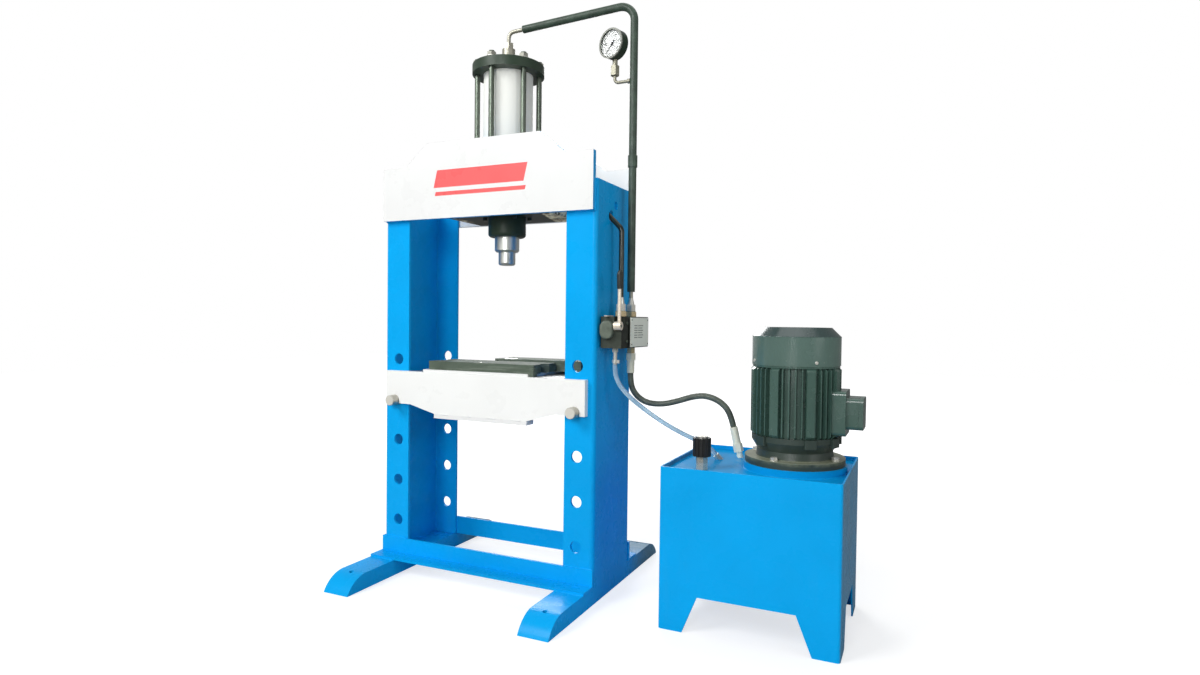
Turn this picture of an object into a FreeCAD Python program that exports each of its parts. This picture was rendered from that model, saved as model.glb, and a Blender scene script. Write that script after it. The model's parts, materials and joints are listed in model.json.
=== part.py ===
"""H-frame hydraulic press with a motor-driven power unit beside it.

Millimetres, +Z up, standing on Z = 0. The operator faces the press along +Y, and the power unit
stands on the +X side. Pieces are drawn about the ram's axis (X = 0, Y = 0) and are then moved
by press_x, which puts the middle of the whole machine's footprint on the origin.
"""
import FreeCAD, Part
import math
import os

import Sketcher
from FreeCAD import Placement, Rotation, Vector

os.makedirs("parts", exist_ok=True)
doc = FreeCAD.newDocument("HydraulicPress")


# ---------------------------------------------------------------- sizes

class Size:
    """A number together with the spreadsheet expression that gives it."""

    def __init__(self, value, text):
        self.value, self.text = float(value), text

    def _join(self, other, sign, result, swap=False):
        text = other.text if isinstance(other, Size) else repr(float(other))
        pair = (text, self.text) if swap else (self.text, text)
        return Size(result, "(%s %s %s)" % (pair[0], sign, pair[1]))

    def __add__(self, other):
        return self._join(other, "+", self.value + float(other))

    def __radd__(self, other):
        return self._join(other, "+", float(other) + self.value, True)

    def __sub__(self, other):
        return self._join(other, "-", self.value - float(other))

    def __rsub__(self, other):
        return self._join(other, "-", float(other) - self.value, True)

    def __mul__(self, other):
        return self._join(other, "*", self.value * float(other))

    def __rmul__(self, other):
        return self._join(other, "*", float(other) * self.value, True)

    def __truediv__(self, other):
        return self._join(other, "/", self.value / float(other))

    def __neg__(self):
        return Size(-self.value, "(-1 * %s)" % self.text)

    def __float__(self):
        return self.value


def root(size):
    return Size(math.sqrt(size.value), "sqrt(%s)" % size.text)


class Sheet:
    """The driving dimensions: each alias is an attribute that gives its Size."""

    def __init__(self, sizes):
        cells = doc.addObject("Spreadsheet::Sheet", "dims")
        for row, (alias, number) in enumerate(sizes.items(), 1):
            cells.set("A%d" % row, alias)
            cells.set("B%d" % row, repr(float(number)))
            cells.setAlias("B%d" % row, alias)
            setattr(self, alias, Size(number, "dims." + alias))


SIZES = {
    # Frame: two folded channels, webs outside and flanges inside, on two feet.
    "press_w": 870, "col_d": 306, "flange_w": 110, "col_t": 10, "fold_r": 15, "col_top": 1398,
    "foot_len": 906, "foot_w": 105, "foot_h": 56, "foot_t": 8, "foot_nose": 90, "anchor_d": 16,
    "anchor_y": 378, "anchor_in": 52, "angle_w": 72, "angle_up": 61, "rear_angle_up": 69,
    "angle_t": 8, "angle_over": 2,
    # Rows of pin holes in the flanges.
    "hole_d": 40, "hole_pitch": 150, "hole_rows": 5, "hole_low": 184, "hole_in": 64, "pin_row": 3,
    "pin_d": 38, "pin_front": 30, "pin_back": 25, "pin_chamfer": 2, "seat_gap": 0.3,
    "run_gap": 0.05, "bolt_gap": 0.5,
    # Crosshead: its plates' ends stay inside the columns, its heights count from their tops.
    "head_drop": 105, "head_end_h": 192, "head_mid_h": 270, "head_t": 20, "head_in": 5,
    "head_end": 102, "head_slope": 98, "headbase_up": 15, "headbase_t": 30,
    "headbase_half": 215, "rib_x": 120, "rib_t": 16, "rib_drop": 14, "pipe_hole_gap": 2,
    # Cylinder and ram.
    "barrel_d": 180, "bore_d": 150, "barrel_h": 487, "cap_d": 262, "cap_t": 35, "cap_spigot": 20,
    "cap_round": 3, "tie_count": 6, "tie_r": 112, "tie_d": 20, "nut_af": 30, "nut_h": 16,
    "tie_stub": 5, "gland_d": 138, "gland_h": 72, "gland_round": 12, "gland_neck_d": 112,
    "gland_spigot": 40, "screw_count": 6, "screw_r": 83, "screw_d": 16, "screw_h": 10,
    "screw_turn": 50, "rod_d": 90, "rod_out": 54, "shoulder_chamfer": 6, "nose_d": 62,
    "nose_h": 48, "nose_round": 8, "piston_t": 60, "piston_top_gap": 2, "land_w": 4,
    "land_depth": 3,
    # Fitting on the cylinder and the pipe down to the valve.
    "boss_d": 48, "boss_h": 62, "union_af": 33, "union_h": 23, "pipe_d": 14, "elbow_bend": 22,
    "elbow_rise": 39, "corner_bend": 50, "corner_rise": 44, "sleeve_d": 27, "sleeve_start": 58,
    "sleeve_clear": 44, "clip_up": 89, "clip_h": 40, "clip_t": 3,
    # Hand-lever valve on the right column's web: its places along X count from that web.
    "valve_gap": 8, "valve_w": 73, "valve_front": -55, "valve_back": 114, "valve_z": 845,
    "valve_h": 104, "neck_len": 17, "lever_deep": 53, "neck_inset": 10, "valve_round": 3,
    "plate_t": 2, "plate_inset": 3, "pad_inset": 12, "port_out": 40, "port_a_in": 16,
    "port_pitch": 89, "tank_port_in": 11, "pump_port_in": 59, "spool_d": 20, "spool_end": 14,
    "cover_w": 46, "cover_h": 60, "cover_t": 18, "cover_out": 31, "cover_up": 60,
    "cover_round": 6, "cover_flat": 1, "pivot_out": 3, "pivot_up": 73, "pivot_d": 10,
    "hub_d": 28, "hub_out": 57, "hub_w": 24, "slot_gap": 3, "slot_deep": 26,
    "lever_side": 16, "lever_d": 11.5, "lever_len": 158, "grip_d": 20, "grip_under": 38,
    "grip_over": 22, "grip_tip_d": 17, "grip_round": 14, "grip_shrink": 2, "grip_end": 3,
    "adapter_af": 36, "adapter_h": 18, "nut_big_af": 30, "nut_big_h": 25, "low_nut_af": 26,
    # Pipe from the valve through the web to the bottom of the cylinder.
    "low_pipe_d": 17.5, "low_boss_up": 34, "low_rise": 129, "low_run_in": 90,
    "low_run_y": -30, "low_bend": 30, "low_boss_d": 26, "low_boss_out": 22, "web_hole_d": 42,
    "spare_hole_d": 30, "spare_hole_up": 42, "spare_hole_back": 38,
    # Gauge on a branch of the pipe.
    "gauge_d": 104, "gauge_depth": 36, "gauge_up": 72, "gauge_turn": 17, "gauge_in": 71,
    "gauge_forward": 9, "branch_down": 262, "branch_d": 11, "branch_bend": 14,
    "gauge_nut_af": 28, "gauge_nut_up": 24, "gauge_nut_h": 35, "stem_d": 18, "saddle_over": 6,
    "saddle_h": 8, "bezel_w": 6, "bezel_t": 6, "rim_step": 1, "dial_t": 1.5, "glass_t": 2,
    "case_wall": 3, "glass_drop": 1, "dial_drop": 12, "needle_zero": 135, "needle_len": 40,
    "needle_tail": 15, "needle_w": 4, "needle_t": 1, "needle_hub": 9, "needle_hub_t": 2.5,
    "needle_tip": 1, "needle_pin_d": 2.4, "needle_pin_h": 3,
    # Table: its height counts from the row of holes that carries the pins.
    "bed_in": 25, "bed_t": 22, "bed_up": 107, "bed_end_h": 120, "bed_mid_h": 149,
    "slope_start": 71, "slope_len": 110, "notch_r": 20.3, "strip_w": 48, "strip_t": 15,
    "strip_over": 2, "bed_rib_x": 160, "bed_rib_t": 12, "bed_plate_t": 10,
    "bed_plate_gap": 13, "cover_left": -250, "cover_right": 190, "cover_deck_t": 9,
    "cover_edge": 165, "block_left": -235, "block_right": 204, "block_front": -150,
    "block_back": 8, "block_t": 31, "far_left": -60, "far_right": 300, "far_front": 18,
    "far_back": 150, "far_t": 38, "vee_w": 60, "vee_depth": 26, "stop_w": 24, "stop_out": 16,
    "stop_h": 20,
    # Tank, a set distance from the press.
    "tank_away": 250, "tank_w": 532, "tank_front": -217, "tank_d": 455, "tank_h": 495,
    "tank_wall": 5, "tank_fold": 10, "skirt_h": 113, "skirt_foot_x": 76, "skirt_slope_x": 46,
    "skirt_foot_y": 100, "skirt_slope_y": 32, "deck_drop": 13, "deck_t": 6, "deck_corner": 1,
    # Motor, standing on the tank with its shaft down.
    "motor_in": 170, "motor_back": 227, "ring_d": 314, "ring_h": 21, "motor_flange_d": 302,
    "motor_flange_t": 21, "spigot_d": 236, "shield_d": 262, "shield_h": 67, "shield_neck_d": 228,
    "frame_d": 236, "frame_h": 209, "fin_d": 270, "fin_count": 44, "fin_t": 3.4,
    "fin_turn": 1.2, "fin_round": 10, "fin_root": 12, "pad_w": 24, "pad_turn": 28,
    "pad_count": 8, "pad_d": 274, "frame_bore": 150, "frame_head_t": 14, "lug_first": -38,
    "lug_second": 29, "lug_third": 70, "lug_r": 139, "lug_w": 36, "lug_h": 27, "lug_round": 3,
    "rear_t": 14, "hood_gap": 6, "hood_d": 266, "hood_h": 115, "hood_chamfer": 28,
    "hood_wall": 2, "vent_rings": 3, "vent_first": 26, "vent_step": 27, "vent_w": 9,
    "vent_bars": 6, "vent_bar_w": 9, "shaft_d": 38, "shaft_out": 73, "rotor_gap": 1,
    "rotor_h": 170, "fan_d": 226, "fan_blades": 6, "fan_blade_t": 4, "fan_h": 34,
    "fan_hub_d": 62, "fan_plate_t": 4, "fan_gap": 4, "box_pad_w": 124, "box_pad_h": 134,
    "box_pad_out": 155, "box_w": 104, "box_h": 94, "box_up": 29, "box_deep": 36,
    "box_round": 12, "lid_t": 12, "lid_gap": 1, "flange_bolts": 4, "flange_bolt_turn": -17,
    "flange_bolt_r": 132.5, "bolt_af": 19, "bolt_h": 8, "washer_d": 24, "washer_t": 2.5,
    # Pump inside the tank.
    "bell_d": 160, "bell_wall": 8, "bell_h": 163, "window_w": 60, "window_h": 56,
    "coupling_d": 72, "coupling_up": 32, "coupling_gap": 4, "pump_shaft_d": 20, "pump_w": 110,
    "pump_d": 96, "pump_h": 92, "pump_round": 10, "strainer_pipe_d": 30, "strainer_d": 76,
    "strainer_h": 60, "strainer_up": 32,
    # Relief valve on the tank.
    "relief_in": 109, "relief_back": 77, "relief_af": 32, "relief_h": 41, "stem_relief_d": 14,
    "knob_d": 56, "knob_h": 56, "knob_gap": 0.4, "knob_flutes": 14, "flute_d": 6, "disc_d": 38,
    "disc_t": 5,
    # Hoses and their end fittings.
    "hose_d": 20.5, "ferrule_d": 26, "hose_cover_len": 44, "hex_low_h": 25, "hex_low_af": 31,
    "ferrule_len": 56, "swivel_af": 28, "swivel_len": 28, "spout_d": 20, "drain_d": 15,
    "drain_nut_af": 19, "drain_nut_h": 14, "barb_d": 14, "band_d": 20, "band_w": 11,
    "band_low": 4, "ear_len": 16, "ear_w": 6, "stub_d": 11, "stub_nut_af": 18,
    "stub_nut_low": 4,
}
d = Sheet(SIZES)

PRESS_HALF = d.press_w / 2
COL_HALF = d.col_d / 2
# Crosshead, cylinder and ram.
HEAD_Z = d.col_top - d.head_drop
HEAD_HALF = PRESS_HALF - d.head_in
HEAD_SHOULDER = HEAD_HALF - d.head_end
HEAD_PEAK = HEAD_SHOULDER - d.head_slope
HEADBASE_Z = HEAD_Z + d.headbase_up
HEADBASE_TOP = HEADBASE_Z + d.headbase_t
BARREL_TOP = HEADBASE_TOP + d.barrel_h
CAP_TOP = BARREL_TOP + d.cap_t
GLAND_Z = HEADBASE_Z - d.gland_h
SHOULDER_Z = GLAND_Z - d.rod_out
NOSE_Z = SHOULDER_Z - d.nose_h
# Table and pins.
PIN_HOLE_Z = d.hole_low + d.hole_pitch * d.pin_row
PIN_X = PRESS_HALF - d.hole_in
PIN_Z = PIN_HOLE_Z - (d.hole_d - d.pin_d) / 2 + d.seat_gap
BED_TOP = PIN_HOLE_Z + d.bed_up
BED_BOTTOM = BED_TOP - d.bed_end_h
BED_HALF = PRESS_HALF - d.bed_in
BED_PLATE_HALF = PRESS_HALF - d.flange_w - d.bed_plate_gap
SLOPE_OUT = PIN_X - d.slope_start
SLOPE_IN = SLOPE_OUT - d.slope_len
# Valve: a block behind, the lever's housing in front of it.
VALVE_X = PRESS_HALF + d.valve_gap
VALVE_RIGHT = VALVE_X + d.valve_w
VALVE_TOP = d.valve_z + d.valve_h
LEVER_BACK = d.valve_front - d.neck_len
LEVER_FRONT = LEVER_BACK - d.lever_deep
PORT_X = PRESS_HALF + d.port_out
PORT_A_Y = d.valve_front + d.port_a_in
PORT_B_Y = PORT_A_Y + d.port_pitch
TANK_PORT_Y = LEVER_BACK - d.tank_port_in
PUMP_PORT_Y = d.valve_back - d.pump_port_in
COVER_X = PRESS_HALF + d.cover_out
COVER_Z = d.valve_z + d.cover_up
PIVOT_Y = LEVER_FRONT - d.pivot_out
PIVOT_Z = d.valve_z + d.pivot_up
HUB_X = PRESS_HALF + d.hub_out
LEVER_X = HUB_X + d.lever_side
LEVER_TOP = PIVOT_Z + d.lever_len
# Pipes and gauge.
UNION_LOW = CAP_TOP + d.boss_h
UNION_TOP = UNION_LOW + d.union_h
ELBOW_Z = UNION_TOP + d.elbow_rise
CORNER_Z = ELBOW_Z + d.corner_rise
NUT_LOW_Z = VALVE_TOP + d.adapter_h
NUT_TOP_Z = NUT_LOW_Z + d.nut_big_h
SLEEVE_END = NUT_TOP_Z + d.sleeve_clear
LOW_HIGH_Z = HEADBASE_TOP + d.low_boss_up
LOW_CORNER_Z = LOW_HIGH_Z - d.low_rise
LOW_RUN_X = PRESS_HALF - d.low_run_in
LOW_BOSS_X = d.barrel_d / 2 + d.low_boss_out
WEB_SHARE = (PORT_X - PRESS_HALF + d.col_t / 2) / (PORT_X - LOW_RUN_X)
WEB_HOLE_Y = PORT_A_Y + (d.low_run_y - PORT_A_Y) * WEB_SHARE
WEB_HOLE_Z = LOW_CORNER_Z + d.low_rise * WEB_SHARE
BRANCH_Z = CORNER_Z - d.branch_down
GAUGE_X = PORT_X - d.gauge_in
GAUGE_NUT_Z = BRANCH_Z + d.gauge_nut_up
GAUGE_NUT_TOP = GAUGE_NUT_Z + d.gauge_nut_h
GAUGE_Z = GAUGE_NUT_TOP + d.gauge_up
FACING = Vector(-math.sin(math.radians(d.gauge_turn)), -math.cos(math.radians(d.gauge_turn)), 0)
# Power unit.
TANK_LEFT = PRESS_HALF + d.tank_away
TANK_RIGHT = TANK_LEFT + d.tank_w
DECK_TOP = d.tank_h - d.deck_drop
RING_TOP = DECK_TOP + d.ring_h
FLANGE_TOP = RING_TOP + d.motor_flange_t
FRAME_LOW = FLANGE_TOP + d.shield_h
FRAME_TOP = FRAME_LOW + d.frame_h
MOTOR_X = TANK_RIGHT - d.motor_in
MOTOR_Y = d.tank_front + d.motor_back
SHAFT_LOW = RING_TOP - d.shaft_out
BELL_LOW = RING_TOP - d.bell_h
COUPLING_LOW = BELL_LOW + d.coupling_up
STRAINER_LOW = d.skirt_h + d.tank_wall + d.strainer_up
BOX_PAD_X = MOTOR_X + d.box_pad_out
BOX_RIGHT = BOX_PAD_X + d.box_deep + d.lid_t
BOX_Z = FRAME_LOW + d.box_up
RELIEF_X = TANK_LEFT + d.relief_in
RELIEF_Y = d.tank_front + d.relief_back
# Each hose lies in an upright plane; its points are (distance from the valve's ports, height).
PRESSURE_SLOPE = 0.144
PRESSURE_POINTS = [(0, 754), (0, 711), (23, 672.5), (61, 650), (117, 649), (170, 663),
                   (218, 680), (263, 685), (311, 667), (344, 630), (355, 583)]
DRAIN_SLOPE = 0.4025
DRAIN_POINTS = [(0, 790), (0, 756), (17, 717), (51, 677), (100, 636), (157, 595), (215, 561),
                (263, 539.5), (294, 520), (311, 499)]
DRAIN_TOP = DRAIN_POINTS[0][1]
HEX_LOW_Z = d.hose_cover_len + PRESSURE_POINTS[0][1]
HEX_TOP = HEX_LOW_Z + d.hex_low_h
# The middle of the footprint, from the base angle's end to the terminal box, goes to X = 0.
PRESS_X = (PRESS_HALF + d.angle_over - BOX_RIGHT) / 2


# ---------------------------------------------------------------- building blocks

AXES = {"X": Vector(1, 0, 0), "Y": Vector(0, 1, 0), "Z": Vector(0, 0, 1)}
HEX_FACE = 0.96     # a hexagon's round end face, against its width across flats
PARTS = []


def bind(thing, **sizes):
    """Makes properties follow the sheet; a double underscore in a name stands for a dot."""
    for name, size in sizes.items():
        text = size.text if isinstance(size, Size) else repr(float(size))
        thing.setExpression(name.replace("__", "."), text)


def put(thing, x=0, y=0, z=0):
    bind(thing, Placement__Base__x=x, Placement__Base__y=y, Placement__Base__z=z)
    return thing


def box(x0, x1, y0, y1, z0, z1):
    """A block between two corners."""
    block = doc.addObject("Part::Box", "Block")
    bind(block, Length=x1 - x0, Width=y1 - y0, Height=z1 - z0)
    return put(block, x0, y0, z0)


def rod(diameter, length, x=0, y=0, z=0, axis="Z"):
    """A cylinder that starts at x, y, z and runs along +axis."""
    cylinder = doc.addObject("Part::Cylinder", "Rod")
    bind(cylinder, Radius=diameter / 2, Height=length)
    cylinder.Placement = Placement(Vector(), Rotation(AXES["Z"], AXES[axis]))
    return put(cylinder, x, y, z)


def hexagon(across_flats, length, x=0, y=0, z=0):
    """An upright hexagon, its corners turned off at 30 degrees at both ends."""
    prism = doc.addObject("Part::Prism", "Hex")
    prism.Polygon = 6
    bind(prism, Circumradius=across_flats / math.sqrt(3), Height=length)
    narrow = across_flats * HEX_FACE / 2
    wide = narrow + length * math.sqrt(3)
    for low, high in ((narrow, wide), (wide, narrow)):
        cone = doc.addObject("Part::Cone", "Cone")
        bind(cone, Radius1=low, Radius2=high, Height=length)
        prism_cut = doc.addObject("Part::Common", "HexEnds")
        prism_cut.Base, prism_cut.Tool = prism, put(cone)
        prism = prism_cut
    return put(prism, x, y, z)


def cut(base, *tools):
    for tool in tools:
        result = doc.addObject("Part::Cut", "Cut")
        result.Base, result.Tool = base, tool
        base = result
    return base


def fuse(*shapes):
    result = doc.addObject("Part::MultiFuse", "Fusion")
    result.Shapes = list(shapes)
    return result


def group(*shapes):
    """Separate solids kept together as one piece, such as a set of bolts."""
    result = doc.addObject("Part::Compound", "Set")
    result.Links = list(shapes)
    return result


def edges_where(shape, wanted):
    return [i + 1 for i, edge in enumerate(shape.Edges) if wanted(edge)]


def rounded(base, radius, wanted, kind="Part::Fillet"):
    """Fillets or chamfers the edges of base that `wanted` picks."""
    doc.recompute()
    picked = edges_where(base.Shape, wanted)
    if not picked:
        raise ValueError("no edge to round on " + base.Name)
    result = doc.addObject(kind, "Rounded")
    result.Base = base
    result.Edges = [(i, float(radius), float(radius)) for i in picked]
    return result


def upright(edge):
    box_ = edge.BoundBox
    return box_.XLength < 0.01 and box_.YLength < 0.01


def ring_at(z, radius=None):
    """Picks the circles at height z, of one radius if it is given."""
    def wanted(edge):
        if edge.BoundBox.ZLength > 0.01 or abs(edge.BoundBox.ZMin - float(z)) > 0.01:
            return False
        if not isinstance(edge.Curve, Part.Circle):
            return False
        return radius is None or abs(edge.Curve.Radius - float(radius)) < 0.01
    return wanted


def body(label):
    return doc.addObject("PartDesign::Body", label)


def fix(made, kind, geometry, spot, size):
    """Holds one coordinate of a point, or a diameter, at a Size."""
    refs = (geometry,) if kind == "Diameter" else (-1, 1, geometry, spot)
    index = made.addConstraint(Sketcher.Constraint(kind, *refs, float(size)))
    if isinstance(size, Size):
        made.setExpression("Constraints[%d]" % index, size.text)


def sketch(owner, plane, outlines=(), circles=(), offset=0):
    """A sketch on one of the body's origin planes. Each corner of an outline and each circle's
    centre and diameter is held by a constraint that follows the sheet."""
    made = owner.newObject("Sketcher::SketchObject", "Sketch")
    flat = [f for f in owner.Origin.OriginFeatures if f.Role == plane][0]
    made.AttachmentSupport = [(flat, "")]
    made.MapMode = "FlatFace"
    bind(made, AttachmentOffset__Base__z=offset)
    for outline in outlines:
        first = made.GeometryCount
        spots = [Vector(float(x), float(y), 0) for x, y in outline]
        for here, there in zip(spots, spots[1:] + spots[:1]):
            made.addGeometry(Part.LineSegment(here, there), False)
        for i, (x, y) in enumerate(outline):
            before = first + (i - 1) % len(spots)
            made.addConstraint(Sketcher.Constraint("Coincident", before, 2, first + i, 1))
            fix(made, "DistanceX", first + i, 1, x)
            fix(made, "DistanceY", first + i, 1, y)
    for x, y, diameter in circles:
        spot = Vector(float(x), float(y), 0)
        number = made.addGeometry(
            Part.Circle(spot, Vector(0, 0, 1), float(diameter) / 2), False)
        fix(made, "DistanceX", number, 3, x)
        fix(made, "DistanceY", number, 3, y)
        fix(made, "Diameter", number, None, diameter)
    return made


def pad(owner, profile, length, both=False):
    made = owner.newObject("PartDesign::Pad", "Pad")
    made.Profile = profile
    made.Midplane = both
    bind(made, Length=length)
    return made


def pocket(owner, profile, depth=None):
    """Cuts the profile right through the body, or to a depth below the sketch."""
    doc.recompute()
    before = owner.Shape.Volume
    made = owner.newObject("PartDesign::Pocket", "Pocket")
    made.Profile = profile
    if depth is None:
        made.Type = "ThroughAll"
        made.Midplane = True
    else:
        bind(made, Length=depth)
    doc.recompute()
    if owner.Shape.Volume > before - 1:
        raise ValueError("a pocket cuts nothing in " + owner.Name)
    return made


def dress(owner, kind, wanted, **sizes):
    """A PartDesign fillet or chamfer on the edges that `wanted` picks."""
    doc.recompute()
    base, picked = owner.Tip, edges_where(owner.Shape, wanted)
    if not picked:
        raise ValueError("no edge to dress in " + owner.Name)
    made = owner.newObject("PartDesign::" + kind, kind)
    made.Base = (base, ["Edge%d" % i for i in picked])
    bind(made, **sizes)
    return made


def turned(label, profile):
    """A body turned about its own Z axis from a half profile of (radius, z) corners."""
    made = body(label)
    outline = sketch(made, "XZ_Plane", [profile])
    lathe = made.newObject("PartDesign::Revolution", "Revolution")
    lathe.Profile = outline
    lathe.ReferenceAxis = (outline, ["V_Axis"])
    lathe.Angle = 360
    return made


def plate(label, plane, outline, thickness, offset=0, circles=(), both=False):
    """A body padded from one outline: along +Z from XY, along -Y from XZ, along +X from YZ."""
    made = body(label)
    pad(made, sketch(made, plane, [outline], offset=offset), thickness, both)
    if circles:
        pocket(made, sketch(made, plane, circles=circles, offset=offset))
    return made


def mirrored_outline(half):
    """Closes a half outline, given from the middle outwards, on both sides of X = 0."""
    return half + [(-x, z) for x, z in reversed(half)]


def at_turns(make, turns, radius, centre=(0, 0)):
    """Pieces on a circle, each from make(), which draws one about the origin. Angles, in degrees,
    start at -Y and go towards +X; a piece's own -Y side faces outwards."""
    pieces = []
    for turn in turns:
        piece = group(make())
        piece.Placement = Placement(Vector(), Rotation(AXES["Z"], turn))
        pieces.append(put(piece, centre[0] + radius * math.sin(math.radians(turn)),
                          centre[1] - radius * math.cos(math.radians(turn))))
    return pieces


def around(make, count, radius, first=0, centre=(0, 0)):
    """The same, evenly spaced."""
    step = 360.0 / float(count)
    turns = [float(first) + step * i for i in range(int(float(count)))]
    return at_turns(make, turns, radius, centre)


def own_shape(label, shape):
    made = doc.addObject("Part::Feature", label)
    made.Shape = shape
    return made


def bent(points, radius=None):
    """A wire of straight runs with tangent arcs at its corners. Without a list of radii each arc
    is as large as its two runs allow. Returns the wire and the arcs' radii."""
    edges, radii, start = [], [], points[0]
    for i, corner in enumerate(points[1:-1]):
        inward, outward = points[i] - corner, points[i + 2] - corner
        half_turn = (math.pi - inward.getAngle(outward)) / 2
        if radius is None:
            reach = 0.45 * min(inward.Length, outward.Length)
        else:
            reach = float(radius[i]) * math.tan(half_turn)
        radii.append(reach / math.tan(half_turn))
        inward.normalize()
        outward.normalize()
        begin, end = corner + inward * reach, corner + outward * reach
        middle = inward + outward
        middle.normalize()
        depth = radii[-1] / math.cos(half_turn) - radii[-1]
        edges.append(Part.LineSegment(start, begin).toShape())
        edges.append(Part.Arc(begin, corner + middle * depth, end).toShape())
        start = end
    edges.append(Part.LineSegment(start, points[-1]).toShape())
    return Part.Wire(edges), radii


def swept(points, diameter, radius=None):
    """A round bar along bent(points)."""
    wire, radii = bent(points, radius)
    run = points[1] - points[0]
    disc = Part.Wire(Part.makeCircle(float(diameter) / 2, points[0], run))
    solid = wire.makePipeShell([disc], True, False)
    if solid.Volume < 0:
        solid.reverse()
    expected = math.pi * float(diameter) ** 2 / 4 * wire.Length
    return solid, wire.Length, radii, solid.Volume / expected


def keep(label, thing, x=0, y=0):
    """Names a finished piece and sets it, drawn about x, y, in the machine's frame."""
    if thing.TypeId in ("Part::Box", "Part::Cylinder"):
        thing = group(thing)
    thing.Label = label
    put(thing, PRESS_X + x, y)
    PARTS.append((label, thing))


def square(x0, x1, y0, y1):
    return [(x0, y0), (x1, y0), (x1, y1), (x0, y1)]


# ---------------------------------------------------------------- frame

def upright_at(half):
    """Picks the upright edges at X = half or -half."""
    return lambda edge: upright(edge) and abs(abs(edge.BoundBox.XMin) - float(half)) < 0.01


def column(label, side):
    """A folded channel: web outside, flanges inward, with rows of pin holes in both flanges."""
    out, inside = side * PRESS_HALF, side * (PRESS_HALF - d.flange_w)
    skin = side * (PRESS_HALF - d.col_t)
    profile = [(out, -COL_HALF), (inside, -COL_HALF), (inside, d.col_t - COL_HALF),
               (skin, d.col_t - COL_HALF), (skin, COL_HALF - d.col_t),
               (inside, COL_HALF - d.col_t), (inside, COL_HALF), (out, COL_HALF)]
    made = plate(label, "XY_Plane", profile, d.col_top - d.foot_h, d.foot_h)
    dress(made, "Fillet", upright_at(PRESS_HALF), Radius=d.fold_r)
    dress(made, "Fillet", upright_at(PRESS_HALF - d.col_t), Radius=d.fold_r - d.col_t)
    pocket(made, sketch(made, "XZ_Plane", circles=[
        (side * PIN_X, d.hole_low + d.hole_pitch * i, d.hole_d)
        for i in range(int(float(d.hole_rows)))]))
    if side > 0:
        pocket(made, sketch(made, "YZ_Plane", circles=[
            (WEB_HOLE_Y, WEB_HOLE_Z, d.web_hole_d),
            (WEB_HOLE_Y + d.spare_hole_back, WEB_HOLE_Z + d.spare_hole_up, d.spare_hole_d)]))
    keep(label, made)


column("left_column", -1)
column("right_column", 1)


def arched(owner, offset, half, flat, high):
    """A sketch from the side of a foot: level in the middle, curving down to Z = 0 at both ends."""
    made = sketch(owner, "YZ_Plane", offset=offset)
    long, level, top = float(half), float(flat), float(high)
    radius = ((long - level) ** 2 + top ** 2) / (2 * top)
    turn = math.asin((long - level) / radius)
    for side, begin in ((1, math.pi / 2 - turn), (-1, math.pi / 2)):
        centre = Vector(side * level, top - radius, 0)
        made.addGeometry(Part.ArcOfCircle(
            Part.Circle(centre, Vector(0, 0, 1), radius), begin, begin + turn), False)
    made.addGeometry(Part.LineSegment(Vector(level, top, 0), Vector(-level, top, 0)), False)
    made.addGeometry(Part.LineSegment(Vector(-long, 0, 0), Vector(long, 0, 0)), False)
    for join in ((0, 2, 2, 1), (1, 1, 2, 2), (1, 2, 3, 1), (0, 1, 3, 2)):
        made.addConstraint(Sketcher.Constraint("Coincident", *join))
    for geometry, spot, x, z in ((2, 1, flat, high), (2, 2, -flat, high), (3, 1, -half, 0),
                                 (3, 2, half, 0)):
        fix(made, "DistanceX", geometry, spot, x)
        fix(made, "DistanceY", geometry, spot, z)
    fix(made, "DistanceX", 0, 3, flat)
    fix(made, "DistanceX", 1, 3, -flat)
    return made


def foot(label, side):
    """An inverted channel whose top runs down to the floor in a curve at each end."""
    made = body(label)
    half, level = d.foot_len / 2, d.foot_len / 2 - d.foot_nose
    inner = side * (PRESS_HALF - d.foot_w)
    left = inner if side > 0 else -PRESS_HALF
    pad(made, arched(made, left, half, level, d.foot_h), d.foot_w)
    radius = (d.foot_nose * d.foot_nose + d.foot_h * d.foot_h) / (2 * d.foot_h)
    reach = root((radius - d.foot_t) * (radius - d.foot_t)
                 - (radius - d.foot_h) * (radius - d.foot_h))
    hollow = arched(made, left + d.foot_w - d.foot_t, level + reach, level, d.foot_h - d.foot_t)
    pocket(made, hollow, depth=d.foot_w - 2 * d.foot_t)
    across = side * (PRESS_HALF - d.anchor_in)
    pocket(made, sketch(made, "XY_Plane", circles=[
        (across, d.anchor_y, d.anchor_d), (across, -d.anchor_y, d.anchor_d)]))
    keep(label, made)


foot("left_foot", -1)
foot("right_foot", 1)


def base_angle(label, side, up):
    """An angle iron across both columns: one leg lies on the feet, the other on the flanges."""
    near, far = side * COL_HALF, side * (COL_HALF + d.angle_w)
    skin = side * (COL_HALF + d.angle_t)
    low = d.foot_h
    profile = [(near, low), (far, low), (far, low + d.angle_t), (skin, low + d.angle_t),
               (skin, low + up), (near, low + up)]
    keep(label, plate(label, "YZ_Plane", profile, d.press_w + 2 * d.angle_over,
                      -PRESS_HALF - d.angle_over))


base_angle("front_base_angle", -1, d.angle_up)
base_angle("rear_base_angle", 1, d.rear_angle_up)


# ---------------------------------------------------------------- crosshead

def crosshead_plate(label, front):
    """A thick plate with a raised middle; the rear one ends at the base plate's underside."""
    low = HEAD_Z if front else HEADBASE_Z
    top = HEAD_Z + d.head_end_h
    half = [(HEAD_PEAK, HEAD_Z + d.head_mid_h), (HEAD_SHOULDER, top),
            (HEAD_HALF, top), (HEAD_HALF, low)]
    offset = COL_HALF if front else -COL_HALF - d.head_t
    keep(label, plate(label, "XZ_Plane", mirrored_outline(half), d.head_t, offset))


crosshead_plate("crosshead_front_plate", True)
crosshead_plate("crosshead_rear_plate", False)

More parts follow.
